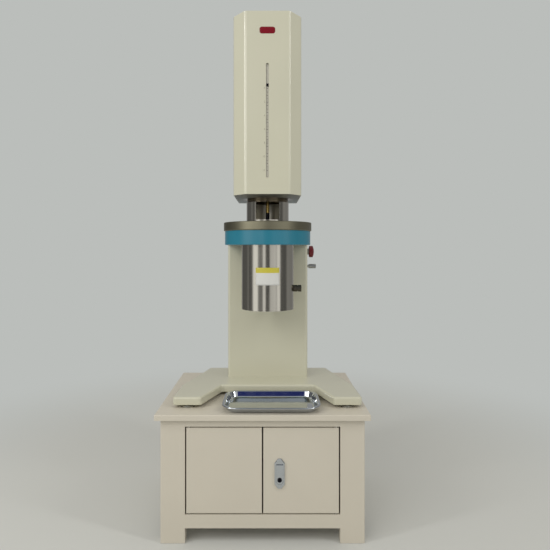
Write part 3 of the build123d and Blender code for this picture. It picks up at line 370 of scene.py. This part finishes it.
def drawn_steel(name, rgb, roughness, streak, bore=0.0):
    """Stainless tube or sheet polished along its length: faint upright streaks.

    The streaks change with the angle round the axis and hardly with the height, so they
    bend what the metal mirrors into upright bands. What lies nearer to the axis than the
    bore is only bored, and satin.
    """
    material, tree = new_tree(name)
    place = add_node(tree, "ShaderNodeTexCoord").outputs["Object"]
    centred, radius = from_axis(tree, place)
    squeezed = add_node(tree, "ShaderNodeMapping",
                        {"Vector": centred, "Scale": (1.0, 1.0, 0.02)}).outputs[0]
    lines = add_node(tree, "ShaderNodeTexNoise",
                     {"Vector": squeezed, "Scale": 1 / streak, "Detail": 3.0}).outputs[0]
    polish = add_node(tree, "ShaderNodeMapRange",
                      {"Value": lines, "From Min": 0.3, "From Max": 0.7,
                       "To Min": roughness * 0.7, "To Max": roughness * 1.4}).outputs[0]
    rough = add_node(tree, "ShaderNodeMapRange",
                     {"Value": radius, "From Min": bore - 1 * MM, "From Max": bore,
                      "To Min": BORED_ROUGHNESS, "To Max": polish}).outputs[0]
    bump = add_node(tree, "ShaderNodeBump",
                    {"Height": lines, "Strength": 0.25, "Distance": 0.06 * MM}).outputs[0]
    shader = add_node(tree, "ShaderNodeBsdfPrincipled",
                      {"Base Color": opaque(rgb), "Metallic": 1.0, "Roughness": rough,
                       "Normal": bump})
    return end_material(material, shader)


def milled_steel(name, rgb, roughness):
    """Machined metal with short random tool marks and a soft sheen."""
    material, tree = new_tree(name)
    place = add_node(tree, "ShaderNodeTexCoord").outputs["Object"]
    stretched = add_node(tree, "ShaderNodeMapping",
                         {"Vector": place, "Scale": (1.0, 0.08, 1.0)}).outputs[0]
    marks = add_node(tree, "ShaderNodeTexNoise",
                     {"Vector": stretched, "Scale": 1 / (1.5 * MM), "Detail": 3.0}).outputs[0]
    base = add_node(tree, "ShaderNodeMix",
                    {FACTOR: marks, FIRST: shade(rgb, 0.85), SECOND: shade(rgb, 1.1)},
                    data_type="RGBA").outputs[MIXED]
    rough = drift(tree, place, 30 * MM, roughness - 0.05, roughness + 0.07)
    bump = add_node(tree, "ShaderNodeBump",
                    {"Height": marks, "Strength": 0.2, "Distance": 0.05 * MM}).outputs[0]
    shader = add_node(tree, "ShaderNodeBsdfPrincipled",
                      {"Base Color": base, "Metallic": 1.0, "Roughness": rough,
                       "Normal": bump})
    return end_material(material, shader)


def collared_steel(metal):
    """Satin plate whose turned collar, nearer the axis, is darker.

    It changes from collar to plate between two distances from the axis.
    """
    collar_reach, plate_start = 70 * MM, 92 * MM
    material, tree = new_tree("satin_plate_with_collar")
    place = add_node(tree, "ShaderNodeTexCoord").outputs["Object"]
    radius = from_axis(tree, place)[1]
    away = add_node(tree, "ShaderNodeMapRange",
                    {"Value": radius, "From Min": collar_reach,
                     "From Max": plate_start}).outputs[0]
    cloud = add_node(tree, "ShaderNodeTexNoise",
                     {"Vector": place, "Scale": 1 / (12 * MM), "Detail": 4.0}).outputs[0]
    satin = add_node(tree, "ShaderNodeMix",
                     {FACTOR: cloud, FIRST: shade(metal.machined, 0.95),
                      SECOND: shade(metal.machined, 1.3)},
                     data_type="RGBA").outputs[MIXED]
    base = add_node(tree, "ShaderNodeMix",
                    {FACTOR: away, FIRST: opaque(metal.collar), SECOND: satin},
                    data_type="RGBA").outputs[MIXED]
    rough = add_node(tree, "ShaderNodeMapRange",
                     {"Value": away, "To Min": 0.2, "To Max": 0.45}).outputs[0]
    shader = add_node(tree, "ShaderNodeBsdfPrincipled",
                      {"Base Color": base, "Metallic": 1.0, "Roughness": rough})
    return end_material(material, shader)


def plated(name, rgb, roughness):
    """Chrome plate or mirror-polished steel with soft handling smears."""
    material, tree = new_tree(name)
    place = add_node(tree, "ShaderNodeTexCoord").outputs["Object"]
    rough = drift(tree, place, 25 * MM, roughness * 0.6, roughness * 1.6)
    wave = add_node(tree, "ShaderNodeTexNoise",
                    {"Vector": place, "Scale": 1 / (35 * MM), "Detail": 1.0}).outputs[0]
    bump = add_node(tree, "ShaderNodeBump",
                    {"Height": wave, "Strength": 0.3, "Distance": 0.4 * MM}).outputs[0]
    shader = add_node(tree, "ShaderNodeBsdfPrincipled",
                      {"Base Color": opaque(rgb), "Metallic": 1.0, "Roughness": rough,
                       "Normal": bump})
    return end_material(material, shader)


def moulded(name, rgb, roughness, grain):
    """Moulded plastic, rubber or printed film: fine grain and a slow drift of gloss."""
    material, tree = new_tree(name)
    place = add_node(tree, "ShaderNodeTexCoord").outputs["Object"]
    tone = drift(tree, place, 15 * MM, 0.0, 1.0)
    base = add_node(tree, "ShaderNodeMix",
                    {FACTOR: tone, FIRST: shade(rgb, 0.92), SECOND: shade(rgb, 1.05)},
                    data_type="RGBA").outputs[MIXED]
    skin = add_node(tree, "ShaderNodeTexNoise",
                    {"Vector": place, "Scale": 1 / grain, "Detail": 2.0}).outputs[0]
    bump = add_node(tree, "ShaderNodeBump",
                    {"Height": skin, "Strength": 0.15, "Distance": 0.05 * MM}).outputs[0]
    rough = drift(tree, place, 8 * MM, roughness - 0.04, roughness + 0.05)
    shader = add_node(tree, "ShaderNodeBsdfPrincipled",
                      {"Base Color": base, "Roughness": rough, "IOR": 1.49,
                       "Normal": bump})
    return end_material(material, shader)


def mineral_wool(name):
    """Matt felted fibre with clumps a few millimetres across."""
    material, tree = new_tree(name)
    place = add_node(tree, "ShaderNodeTexCoord").outputs["Object"]
    clumps = add_node(tree, "ShaderNodeTexNoise",
                      {"Vector": place, "Scale": 1 / (5 * MM), "Detail": 6.0}).outputs[0]
    base = add_node(tree, "ShaderNodeMix",
                    {FACTOR: clumps, FIRST: opaque(linear("A79F86")),
                     SECOND: opaque(linear("E0DAC6"))},
                    data_type="RGBA").outputs[MIXED]
    bump = add_node(tree, "ShaderNodeBump",
                    {"Height": clumps, "Strength": 0.8, "Distance": 1 * MM}).outputs[0]
    shader = add_node(tree, "ShaderNodeBsdfPrincipled",
                      {"Base Color": base, "Roughness": 0.95, "Normal": bump})
    return end_material(material, shader)


# Pieces

def give(slots, material):
    """Puts a material on every node whose place in the record is one of these slots."""
    for part in frame["record"]["subparts"]:
        if part["material_slot"] in slots:
            cover(part["node"], material)


def cover(node, material):
    """Puts a material on one node."""
    mesh = frame["nodes"][node].data
    mesh.materials.clear()
    mesh.materials.append(material)


class RHEOMETER_OT_cabinet(bpy.types.Operator):
    """Powder coat on the cabinet's slab, frame, panels and doors."""

    bl_idname = "rheometer.cabinet"
    bl_label = "Coat the cabinet"

    def execute(self, context):
        paint = context.scene.rheometer_paint
        give(["cabinet_paint"],
             sprayed_paint("cabinet_powder_coat", paint.cabinet, 0.42, 0.5, 0.05))
        return {"FINISHED"}


class RHEOMETER_OT_machine(bpy.types.Operator):
    """Enamel on the base, column and tower, and blue enamel on the head."""

    bl_idname = "rheometer.machine"
    bl_label = "Paint the machine"

    def execute(self, context):
        paint = context.scene.rheometer_paint
        give(["machine_paint"], sprayed_paint("cream_enamel", paint.machine, 0.3, 0.35, 0.5))
        give(["blue_paint"], sprayed_paint("blue_enamel", paint.head, 0.34, 0.5, 0.3))
        return {"FINISHED"}


class RHEOMETER_OT_steel(bpy.types.Operator):
    """Bare metals outside: flange, jacket, window tube, plates, handle and feet."""

    bl_idname = "rheometer.steel"
    bl_label = "Finish the bare metals"

    def execute(self, context):
        metal = context.scene.rheometer_metal
        streak, tube_bore = 2.5 * MM, 66 * MM
        give(["turned_steel"], lathe_steel("turned_mild_steel", metal.turned, 0.34, 1.2 * MM))
        give(["polished_steel"], drawn_steel("polished_stainless", metal.polished,
                                             metal.jacket_roughness, streak))
        give(["machined_steel"], milled_steel("machined_steel", metal.machined, 0.33))
        cover("window_tube", drawn_steel("bored_stainless_tube", metal.polished,
                                         metal.jacket_roughness, streak, bore=tube_bore))
        # Painted reflection: the gland gets a dark colour that stands in for the dark room its
        # polished steel mirrors.
        cover("sensor_gland", milled_steel("gland_steel_painted_dark_reflection", metal.gland, 0.38))
        cover("drive_base_plate", collared_steel(metal))
        give(["ground_steel"], plated("ground_steel", metal.polished, 0.12))
        give(["zinc_plate"], plated("satin_chrome_plate", metal.chrome, 0.16))
        give(["bronze"], milled_steel("drawn_bronze", metal.bronze, 0.25))
        give(["aluminium"], milled_steel("milled_aluminium", metal.aluminium, 0.32))
        give(["heater_metal"], milled_steel("heater_band_steel", metal.machined, 0.4))
        return {"FINISHED"}


class RHEOMETER_OT_small_parts(bpy.types.Operator):
    """Plastics, rubber, blackened steel and insulation."""

    bl_idname = "rheometer.small_parts"
    bl_label = "Finish the small parts"

    def execute(self, context):
        paint = context.scene.rheometer_paint
        give(["black_steel"], milled_steel("black_oxide_steel", linear("24242A"), 0.42))
        give(["motor_black"], sprayed_paint("motor_enamel", linear("26262A"), 0.45, 0.5, 0.0))
        give(["belt_rubber"], moulded("belt_rubber", linear("1E1E1E"), 0.7, 0.6 * MM))
        give(["red_plastic"], moulded("red_abs", paint.stop, 0.28, 0.8 * MM))
        give(["grey_plastic"], moulded("grey_abs", linear("A29A98"), 0.45, 0.8 * MM))
        give(["black_plastic"], moulded("black_nylon", linear("1B1B1D"), 0.4, 0.8 * MM))
        # The strip's colour is partly its own ivory and partly painted light that cancels the
        # shade in the slot.
        give(["scale_white"], moulded("ivory_film_with_painted_light", paint.scale, 0.45, 0.8 * MM))
        give(["wool"], mineral_wool("mineral_wool"))
        return {"FINISHED"}


class RHEOMETER_OT_tray(bpy.types.Operator):
    """Pressed stainless dish with soft inner corners and a rolled edge."""

    bl_idname = "rheometer.tray"
    bl_label = "Press the tray"

    def execute(self, context):
        metal = context.scene.rheometer_metal
        gauge, corner = 1.0 * MM, 45 * MM
        lip, lean, roll = 9 * MM, 9 * MM, 2.4 * MM  # lip's width, wall's lean, edge's radius
        floor_bend, lip_bend, floor_corner = 7 * MM, 3 * MM, 8 * MM  # radii
        slack = 0.1 * MM  # keeps the dish inside the box of the solid one
        floor_z, top = tray_low[2] + gauge + 2 * slack, tray_high[2] - slack
        roll_x, roll_z = slack + roll, top - roll
        section = rounded_path(
            [(corner - floor_corner, floor_z), (lip + lean, floor_z), (lip, top),
             (roll_x, top)], [floor_bend, lip_bend])
        angle = np.radians(np.linspace(90, -150, 14))
        curl = np.stack([roll_x - roll * np.cos(angle), roll_z + roll * np.sin(angle)], axis=-1)
        section = np.concatenate([section[:-1], curl])
        points = ring_points(section[:, 0], section[:, 1], tray_low, tray_high, corner)
        middle = (tray_low + tray_high) / 2
        shares = np.array([0.0, 0.35, 0.7])[:, None, None]  # rings from the middle outwards
        floor = np.array([middle[0], middle[1], floor_z]) * (1 - shares) + points[0] * shares
        points = np.concatenate([floor, points])
        tray = piece("pressed_tray", points, grid_faces(*points.shape[:2], wrap=True),
                     plated("mirror_stainless", metal.chrome, 0.09), "tray",
                     "polished_steel")
        wall = tray.modifiers.new("gauge", "SOLIDIFY")
        wall.thickness, wall.offset = gauge, -1.0
        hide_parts("sample_tray")
        return {"FINISHED"}


def ring_points(insets, heights, low, high, corner, arc=14, side=6):
    """Stack of rounded rectangles, one for each inset and height.

    A rectangle's corner of radius r is centred r in from both sides; with an inset d the
    centre stays where it is and the radius becomes r - d.
    """
    centres_x = np.array([high[0] - corner, low[0] + corner, low[0] + corner, high[0] - corner])
    centres_y = np.array([high[1] - corner, high[1] - corner, low[1] + corner, low[1] + corner])
    quarter = np.linspace(0, pi / 2, arc)
    angle = quarter[None] + np.arange(4)[:, None] * pi / 2
    share = np.linspace(0, 1, side, endpoint=False)[1:]
    radius = (corner - np.asarray(insets))[:, None, None]
    x = centres_x[None, :, None] + radius * np.cos(angle)[None]
    y = centres_y[None, :, None] + radius * np.sin(angle)[None]
    following_x, following_y = np.roll(x[:, :, 0], -1, 1), np.roll(y[:, :, 0], -1, 1)
    side_x = x[:, :, -1:] * (1 - share) + following_x[:, :, None] * share
    side_y = y[:, :, -1:] * (1 - share) + following_y[:, :, None] * share
    x = np.concatenate([x, side_x], axis=2).reshape(len(insets), -1)
    y = np.concatenate([y, side_y], axis=2).reshape(len(insets), -1)
    z = np.broadcast_to(np.asarray(heights)[:, None], x.shape)
    return np.stack([x, y, z], axis=-1)


class RHEOMETER_OT_label(bpy.types.Operator):
    """Bare two-tone label wrapped on the front of the jacket."""

    bl_idname = "rheometer.label"
    bl_label = "Stick on the label"

    def execute(self, context):
        paint, detail = context.scene.rheometer_paint, context.scene.rheometer_detail
        film_thick = 0.15 * MM
        radius = (jacket_high[0] - jacket_low[0]) / 2 + film_thick
        half_angle = detail.label_width / 2 / radius
        angle = np.linspace(-half_angle, half_angle, 25)
        height = np.linspace(-0.5, 0.5, 13) * detail.label_height + detail.label_z
        turn, rise = np.meshgrid(angle, height)
        points = np.stack([AXIS_X + radius * np.sin(turn), AXIS_Y - radius * np.cos(turn),
                           rise], axis=-1)
        label = piece("jacket_label", points, grid_faces(*turn.shape),
                      two_tone_film(paint, detail), "frame", "scale_white")
        film = label.modifiers.new("film", "SOLIDIFY")
        film.thickness, film.offset = film_thick, 1.0
        return {"FINISHED"}


def two_tone_film(paint, detail):
    """Printed polyester film: a coloured band over a pale field, nothing written on it."""
    material, tree = new_tree("polyester_label")
    place = add_node(tree, "ShaderNodeTexCoord").outputs["Object"]
    height = add_node(tree, "ShaderNodeSeparateXYZ", {"Vector": place}).outputs["Z"]
    seam, blur = detail.label_z + detail.label_height / 2 - detail.band_height, 0.4 * MM
    above = add_node(tree, "ShaderNodeMapRange",
                     {"Value": height, "From Min": seam - blur,
                      "From Max": seam + blur}).outputs[0]
    base = add_node(tree, "ShaderNodeMix",
                    {FACTOR: above, FIRST: opaque(paint.label_field),
                     SECOND: opaque(paint.label_band)},
                    data_type="RGBA").outputs[MIXED]
    rough = drift(tree, place, 20 * MM, 0.3, 0.42)
    shader = add_node(tree, "ShaderNodeBsdfPrincipled",
                      {"Base Color": base, "Roughness": rough, "IOR": 1.57})
    return end_material(material, shader)


class RHEOMETER_OT_badge(bpy.types.Operator):
    """Plain domed badge near the top of the tower.

    Its side stands upright, rounds over, and rises in a shallow crown to the middle.
    """

    bl_idname = "rheometer.badge"
    bl_label = "Set the badge"

    def execute(self, context):
        paint, detail = context.scene.rheometer_paint, context.scene.rheometer_detail
        half = np.array([detail.badge_width, detail.badge_height]) / 2
        corner = detail.badge_height * 0.35
        side, round_in, round_up = 0.2 * MM, 0.9 * MM, 0.7 * MM
        crown_in, crown_up, crown_top = [2.2 * MM, 4.5 * MM], [1.1 * MM, 1.25 * MM], 1.35 * MM
        low = np.array([AXIS_X - half[0], detail.badge_z - half[1]])
        high = np.array([AXIS_X + half[0], detail.badge_z + half[1]])
        turn = np.linspace(0, pi / 2, 9)
        insets = np.concatenate([[0.0], round_in * (1 - np.cos(turn)), crown_in])
        rise = np.concatenate([[0.0], side + round_up * np.sin(turn), crown_up])
        rings = ring_points(insets, rise, low, high, corner, arc=8, side=4)
        middle = np.array([AXIS_X, detail.badge_z, crown_top])
        rings = np.concatenate([rings, middle + 0 * rings[-1:]])
        points = np.stack([rings[..., 0], tower_front - rings[..., 2], rings[..., 1]], axis=-1)
        piece("tower_badge", points, grid_faces(*points.shape[:2], wrap=True),
              moulded("domed_resin", paint.badge, 0.14, 2 * MM), "frame", "red_plastic")
        return {"FINISHED"}


class RHEOMETER_OT_scale(bpy.types.Operator):
    """Marks on the strip behind the slot, and plain numbers beside it."""

    bl_idname = "rheometer.scale"
    bl_label = "Print the scale"

    def execute(self, context):
        paint, detail = context.scene.rheometer_paint, context.scene.rheometer_detail
        ink = moulded("printed_ink", paint.ink, 0.6, 0.5 * MM)
        marks, marks_per_number = 24, 4
        long_mark, short_mark, depth = 4.6 * MM, 2.0 * MM, 0.12 * MM
        strip_recess = 7 * MM  # from the tower's front back to the strip's face
        number_gap = 6.5 * MM  # from the axis to the numbers' right edge
        first_z = (pointer_low[2] + pointer_high[2]) / 2 - detail.tick_pitch
        steps = np.arange(2 * marks + 1)
        height = first_z - detail.tick_pitch * steps / 2
        major = steps % 2 == 0
        width = np.where(major, long_mark, short_mark)
        thick = np.where(major, detail.tick_height, detail.tick_height / 2)
        same = np.ones(len(steps))
        middle_y = tower_front + strip_recess - depth / 2
        centres = np.stack([same * AXIS_X, same * middle_y, height], axis=-1)
        sizes = np.stack([width, same * depth, thick], axis=-1)
        piece("scale_marks", *boxes(centres, sizes), ink, "frame", "black_plastic",
              smooth=False)
        corners, faces, offset = [], [], 0
        for number in range(marks // marks_per_number + 1):
            flat, polygons = digits(str(2 * number), detail.digit_height)
            z = first_z - detail.tick_pitch * marks_per_number * number
            shift = np.array([AXIS_X - number_gap - flat[:, 0].max(), tower_front,
                              z - detail.digit_height / 2])
            corners.append(flat + shift)
            faces += [[index + offset for index in polygon] for polygon in polygons]
            offset += len(flat)
        piece("scale_numbers", np.concatenate(corners), faces,
              moulded("pale_ink", linear("8F8B78"), 0.6, 0.5 * MM), "frame", "black_plastic",
              smooth=False)
        return {"FINISHED"}


def digits(text, height):
    """Points and faces of a short number, standing in X and Z and facing the front.

    A digit of Blender's own font is about 0.7 of the font's size tall.
    """
    digit_share, half_thick = 0.72, 0.05 * MM
    curve = bpy.data.curves.new("number", "FONT")
    curve.body = text
    curve.size = height / digit_share
    curve.extrude = half_thick
    curve.resolution_u = 3
    item = bpy.data.objects.new("number", curve)
    mesh = bpy.data.meshes.new_from_object(item)
    flat = np.zeros(len(mesh.vertices) * 3)
    mesh.vertices.foreach_get("co", flat)
    flat = flat.reshape(-1, 3)
    polygons = [list(polygon.vertices) for polygon in mesh.polygons]
    bpy.data.objects.remove(item)
    bpy.data.curves.remove(curve)
    bpy.data.meshes.remove(mesh)
    return np.stack([flat[:, 0], -flat[:, 2] - half_thick, flat[:, 1]], axis=-1), polygons


def button_head(centre, direction, across, diameter, height, pocket):
    """Points of a domed screw head with a hexagon pocket, as rings round its axis.

    The dome is the outer three quarters of a quarter ellipse. The pocket's wall lies at
    half its width / cos(a) from the axis, where a is the angle from the middle of the
    nearest flat. The pocket ends in a shallow cone.
    """
    dome_turn = 0.75 * pi / 2
    pocket_rim, pocket_tip = 0.35 * height, 0.3 * height
    turn = np.linspace(0, 2 * pi, 24, endpoint=False)
    nearest = (turn + pi / 6) % (pi / 3) - pi / 6
    flat = pocket / 2 / np.cos(nearest)
    rise = np.linspace(0, 1, 5)
    dome = np.cos(rise * dome_turn)[:, None] * (diameter / 2) * np.ones_like(turn)
    level = np.sin(rise * dome_turn) / sin(dome_turn) * height
    radius = np.concatenate([dome, [flat, flat, 0 * flat]])
    lift = np.concatenate([level, [height, pocket_rim, pocket_tip]])
    up = np.cross(direction, across)
    ring = np.cos(turn)[:, None] * across + np.sin(turn)[:, None] * up
    return centre + radius[..., None] * ring[None] + lift[:, None, None] * direction


class RHEOMETER_OT_panel_screws(bpy.types.Operator):
    """Button-head screws round the rear panels of the tower and the column."""

    bl_idname = "rheometer.panel_screws"
    bl_label = "Fit the panel screws"

    def execute(self, context):
        metal, detail = context.scene.rheometer_metal, context.scene.rheometer_detail
        steel = plated("zinc_plated_screw", metal.chrome, 0.25)
        back, across = np.array([0.0, 1.0, 0.0]), np.array([1.0, 0.0, 0.0])
        head_height, pocket = 2.2 * MM, 2.5 * MM
        side_gap, end_gap = 9 * MM, 15 * MM
        for panel, rows in (("drive_rear_panel", 5), ("column_rear_panel", 4)):
            low, high = box_of(panel)
            heights = np.linspace(low[2] + end_gap, high[2] - end_gap, rows)
            for side, x in (("left", low[0] + side_gap), ("right", high[0] - side_gap)):
                heads = [button_head(np.array([x, high[1], z]), back, across,
                                     detail.screw_diameter, head_height, pocket)
                         for z in heights]
                join_rings(panel + "_screws_" + side, heads, steel)
        return {"FINISHED"}


def join_rings(name, shapes, material):
    """One piece from several stacks of rings of the same size."""
    points = np.stack(shapes)
    rows, columns = points.shape[1:3]
    faces = grid_faces(rows, columns, wrap=True)
    faces = faces[None] + (rows * columns * np.arange(len(shapes)))[:, None, None]
    return piece(name, points, faces.reshape(-1, 4), material, "frame", "zinc_plate")


# Stage

class RHEOMETER_OT_stage(bpy.types.Operator):
    """Plain floor and backdrop, soft lamps and the camera."""

    bl_idname = "rheometer.stage"
    bl_label = "Build the stage"

    def execute(self, context):
        stage = context.scene.rheometer_stage
        floor_disc(stage)
        reflector_screen()
        backdrop_world(context, stage)
        lamps(context, stage)
        camera(context, stage)
        context.scene.view_settings.view_transform = "Standard"
        return {"FINISHED"}


def floor_disc(stage):
    """Round floor that takes the shadow and fades into the backdrop at its rim."""
    drop = 0.5 * MM  # keeps the floor clear of the machine's underside
    fade_start, fade_end = 0.75, 2.1
    reach = np.concatenate([[0.0], np.linspace(0.4, 2.6, 12)])
    turn = np.linspace(0, 2 * pi, 48, endpoint=False)
    points = np.stack([reach[:, None] * np.cos(turn), reach[:, None] * np.sin(turn),
                       np.full((len(reach), len(turn)), -drop)], axis=-1)
    material, tree = new_tree("matt_floor")
    place = add_node(tree, "ShaderNodeTexCoord").outputs["Object"]
    away = add_node(tree, "ShaderNodeVectorMath", {0: place}, operation="LENGTH")
    fade = add_node(tree, "ShaderNodeMapRange",
                    {"Value": away.outputs["Value"], "From Min": fade_start,
                     "From Max": fade_end},
                    interpolation_type="SMOOTHSTEP").outputs[0]
    matt = add_node(tree, "ShaderNodeBsdfDiffuse", {"Color": opaque(stage.floor)})
    plain = add_node(tree, "ShaderNodeEmission", {"Color": opaque(stage.wall)})
    mixed = add_node(tree, "ShaderNodeMixShader",
                     {0: fade, 1: matt.outputs[0], 2: plain.outputs[0]})
    item = new_item("studio_floor", points, grid_faces(*points.shape[:2], wrap=True),
                    end_material(material, mixed))


def reflector_screen():
    """Round screen of grey flags, seen only in the metal.

    Its grey changes with the angle round the machine, from the front, so that polished
    steel shows dark and bright upright bands as it does in a room with windows. High up at
    the front it is navy, which the tray's far wall mirrors.
    """
    radius, foot, top = 3.4, -0.6, 3.6
    navy_foot, navy_full = 1.8, 2.2  # height where the navy starts, and where it is full
    navy_side, navy_core = 0.4, 0.25  # angle from the front where it ends, and where it is full
    angle, rise = np.meshgrid(np.linspace(-pi, pi, 97), np.linspace(foot, top, 3))
    points = np.stack([radius * np.sin(angle), -radius * np.cos(angle), rise], axis=-1)
    material, tree = new_tree("grey_flags")
    place = add_node(tree, "ShaderNodeTexCoord").outputs["Object"]
    part = add_node(tree, "ShaderNodeSeparateXYZ", {"Vector": place}).outputs
    towards = add_node(tree, "ShaderNodeMath", {0: part["Y"], 1: -1.0},
                       operation="MULTIPLY").outputs[0]
    around = add_node(tree, "ShaderNodeMath", {0: part["X"], 1: towards},
                      operation="ARCTAN2").outputs[0]
    share = add_node(tree, "ShaderNodeMapRange",
                     {"Value": around, "From Min": -pi, "From Max": pi}).outputs[0]
    bands = [(-180, 0.36), (-150, 0.30), (-138, 0.10), (-100, 0.12), (-92, 0.22), (-84, 0.10),
             (-70, 0.14), (-60, 0.95), (-44, 0.95), (-38, 0.22), (-22, 0.20),
             (-17, 0.80), (-10, 0.75), (-6, 0.11), (7, 0.11), (11, 0.58), (34, 0.68),
             (38, 0.48), (42, 0.80), (52, 0.85), (58, 0.12), (84, 0.10), (94, 0.26),
             (130, 0.22), (150, 0.30), (180, 0.36)]  # degrees from the front, and grey
    ramp = set_ramp(add_node(tree, "ShaderNodeValToRGB", {"Fac": share}),
                    [((degrees + 180) / 360, grey) for degrees, grey in bands])
    high = add_node(tree, "ShaderNodeMapRange",
                    {"Value": part["Z"], "From Min": navy_foot,
                     "From Max": navy_full}).outputs[0]
    aside = add_node(tree, "ShaderNodeMath", {0: around}, operation="ABSOLUTE").outputs[0]
    near = add_node(tree, "ShaderNodeMapRange",
                    {"Value": aside, "From Min": navy_side, "From Max": navy_core}).outputs[0]
    navy = add_node(tree, "ShaderNodeMath", {0: high, 1: near}, operation="MULTIPLY").outputs[0]
    cloth = add_node(tree, "ShaderNodeMix",
                     {FACTOR: navy, FIRST: ramp.outputs[0], SECOND: opaque(linear("262F66"))},
                     data_type="RGBA").outputs[MIXED]
    glow = add_node(tree, "ShaderNodeEmission", {"Color": cloth})
    item = new_item("reflector_screen", points, grid_faces(*angle.shape),
                    end_material(material, glow))
    item.visible_camera = item.visible_diffuse = item.visible_shadow = False
    item.visible_transmission = item.visible_volume_scatter = False


def backdrop_world(context, stage):
    """Pale backdrop for the eye and for metal, and a softer even light for the rest."""
    world = bpy.data.worlds.new("studio")
    world.use_nodes = True
    tree = world.node_tree
    tree.nodes.clear()
    path = add_node(tree, "ShaderNodeLightPath")
    seen = add_node(tree, "ShaderNodeMath",
                    {0: path.outputs["Is Camera Ray"], 1: path.outputs["Is Glossy Ray"]},
                    operation="MAXIMUM").outputs[0]
    seen = add_node(tree, "ShaderNodeMath", {0: seen, 1: path.outputs["Is Transmission Ray"]},
                    operation="MAXIMUM").outputs[0]
    shown = add_node(tree, "ShaderNodeBackground", {"Color": opaque(stage.wall)})
    even = add_node(tree, "ShaderNodeBackground",
                    {"Color": opaque(linear("FFFDF8")), "Strength": stage.ambient})
    both = add_node(tree, "ShaderNodeMixShader",
                    {0: seen, 1: even.outputs[0], 2: shown.outputs[0]})
    add_node(tree, "ShaderNodeOutputWorld", {"Surface": both.outputs[0]})
    context.scene.world = world


def lamp(context, name, place, target, size, watts, tint):
    """Rectangular soft lamp that faces a point."""
    data = bpy.data.lights.new(name, "AREA")
    data.shape, data.size, data.size_y = "RECTANGLE", *size
    data.energy = watts
    data.color = tint
    item = bpy.data.objects.new(name, data)
    context.scene.collection.objects.link(item)
    item.location = place
    direction = item.location - Vector(target)
    item.rotation_euler = direction.to_track_quat("Z", "Y").to_euler()
    item.visible_camera = False


def lamps(context, stage):
    """One wide lamp at the front left and two narrow upright ones at the front corners."""
    key_place, key_aim, key_size = (-1.5, -2.3, 1.9), (0.0, 0.0, 0.6), (2.0, 1.4)
    warm_white, white = (1.0, 0.985, 0.95), (1.0, 1.0, 0.98)
    strip_aim, strip_size = (AXIS_X, AXIS_Y, 0.8), (0.28, 1.5)
    strip_reach, strip_height, strip_turn = 2.4, 2.1, radians(58)
    lamp(context, "key_lamp", key_place, key_aim, key_size, stage.key_watts, warm_white)
    for name, turn in (("left_strip", -strip_turn), ("right_strip", strip_turn)):
        place = (strip_reach * sin(turn), -strip_reach * cos(turn), strip_height)
        lamp(context, name, place, strip_aim, strip_size, stage.strip_watts, white)


def camera(context, stage):
    """Camera level with the barrel, with the small shift of the photograph's framing."""
    picture_width, right_shift, down_shift = 550, 5, 27  # in pixels
    beside_middle = 0.02175
    data = bpy.data.cameras.new("camera")
    data.lens, data.sensor_width = stage.lens, 36.0
    data.shift_x, data.shift_y = right_shift / picture_width, -down_shift / picture_width
    item = bpy.data.objects.new("camera", data)
    context.scene.collection.objects.link(item)
    item.location = (beside_middle, -stage.camera_distance, stage.camera_height)
    item.rotation_euler = (pi / 2, 0.0, 0.0)
    context.scene.camera = item


# Add-on

class RHEOMETER_PT_panel(bpy.types.Panel):
    """Lists the pieces and the sizes and colours that can be changed."""

    bl_idname = "RHEOMETER_PT_panel"
    bl_label = "Rheometer"
    bl_space_type = "VIEW_3D"
    bl_region_type = "UI"
    bl_category = "Rheometer"

    def draw(self, context):
        for operator in OPERATORS:
            self.layout.operator(operator.bl_idname)
        for name in GROUPS:
            settings = getattr(context.scene, name)
            for key in settings.__annotations__:
                self.layout.prop(settings, key)


GROUPS = {
    "rheometer_paint": RheometerPaint,
    "rheometer_metal": RheometerMetal,
    "rheometer_detail": RheometerDetail,
    "rheometer_stage": RheometerStage,
}
OPERATORS = (
    RHEOMETER_OT_stage, RHEOMETER_OT_cabinet, RHEOMETER_OT_machine, RHEOMETER_OT_steel,
    RHEOMETER_OT_small_parts, RHEOMETER_OT_tray, RHEOMETER_OT_label, RHEOMETER_OT_badge,
    RHEOMETER_OT_scale, RHEOMETER_OT_panel_screws,
)


def register():
    """Registers the classes and puts the settings on the scene."""
    for group in GROUPS.values():
        bpy.utils.register_class(group)
    for name, group in GROUPS.items():
        setattr(bpy.types.Scene, name, bpy.props.PointerProperty(type=group))
    for operator in OPERATORS:
        bpy.utils.register_class(operator)
    bpy.utils.register_class(RHEOMETER_PT_panel)


def unregister():
    """Takes the classes and settings away again."""
    bpy.utils.unregister_class(RHEOMETER_PT_panel)
    for operator in reversed(OPERATORS):
        bpy.utils.unregister_class(operator)
    for name, group in reversed(GROUPS.items()):
        delattr(bpy.types.Scene, name)
        bpy.utils.unregister_class(group)


def main():
    register()
    for operator in OPERATORS:
        group, name = operator.bl_idname.split(".")
        getattr(getattr(bpy.ops, group), name)()


if __name__ == "__main__":
    main()
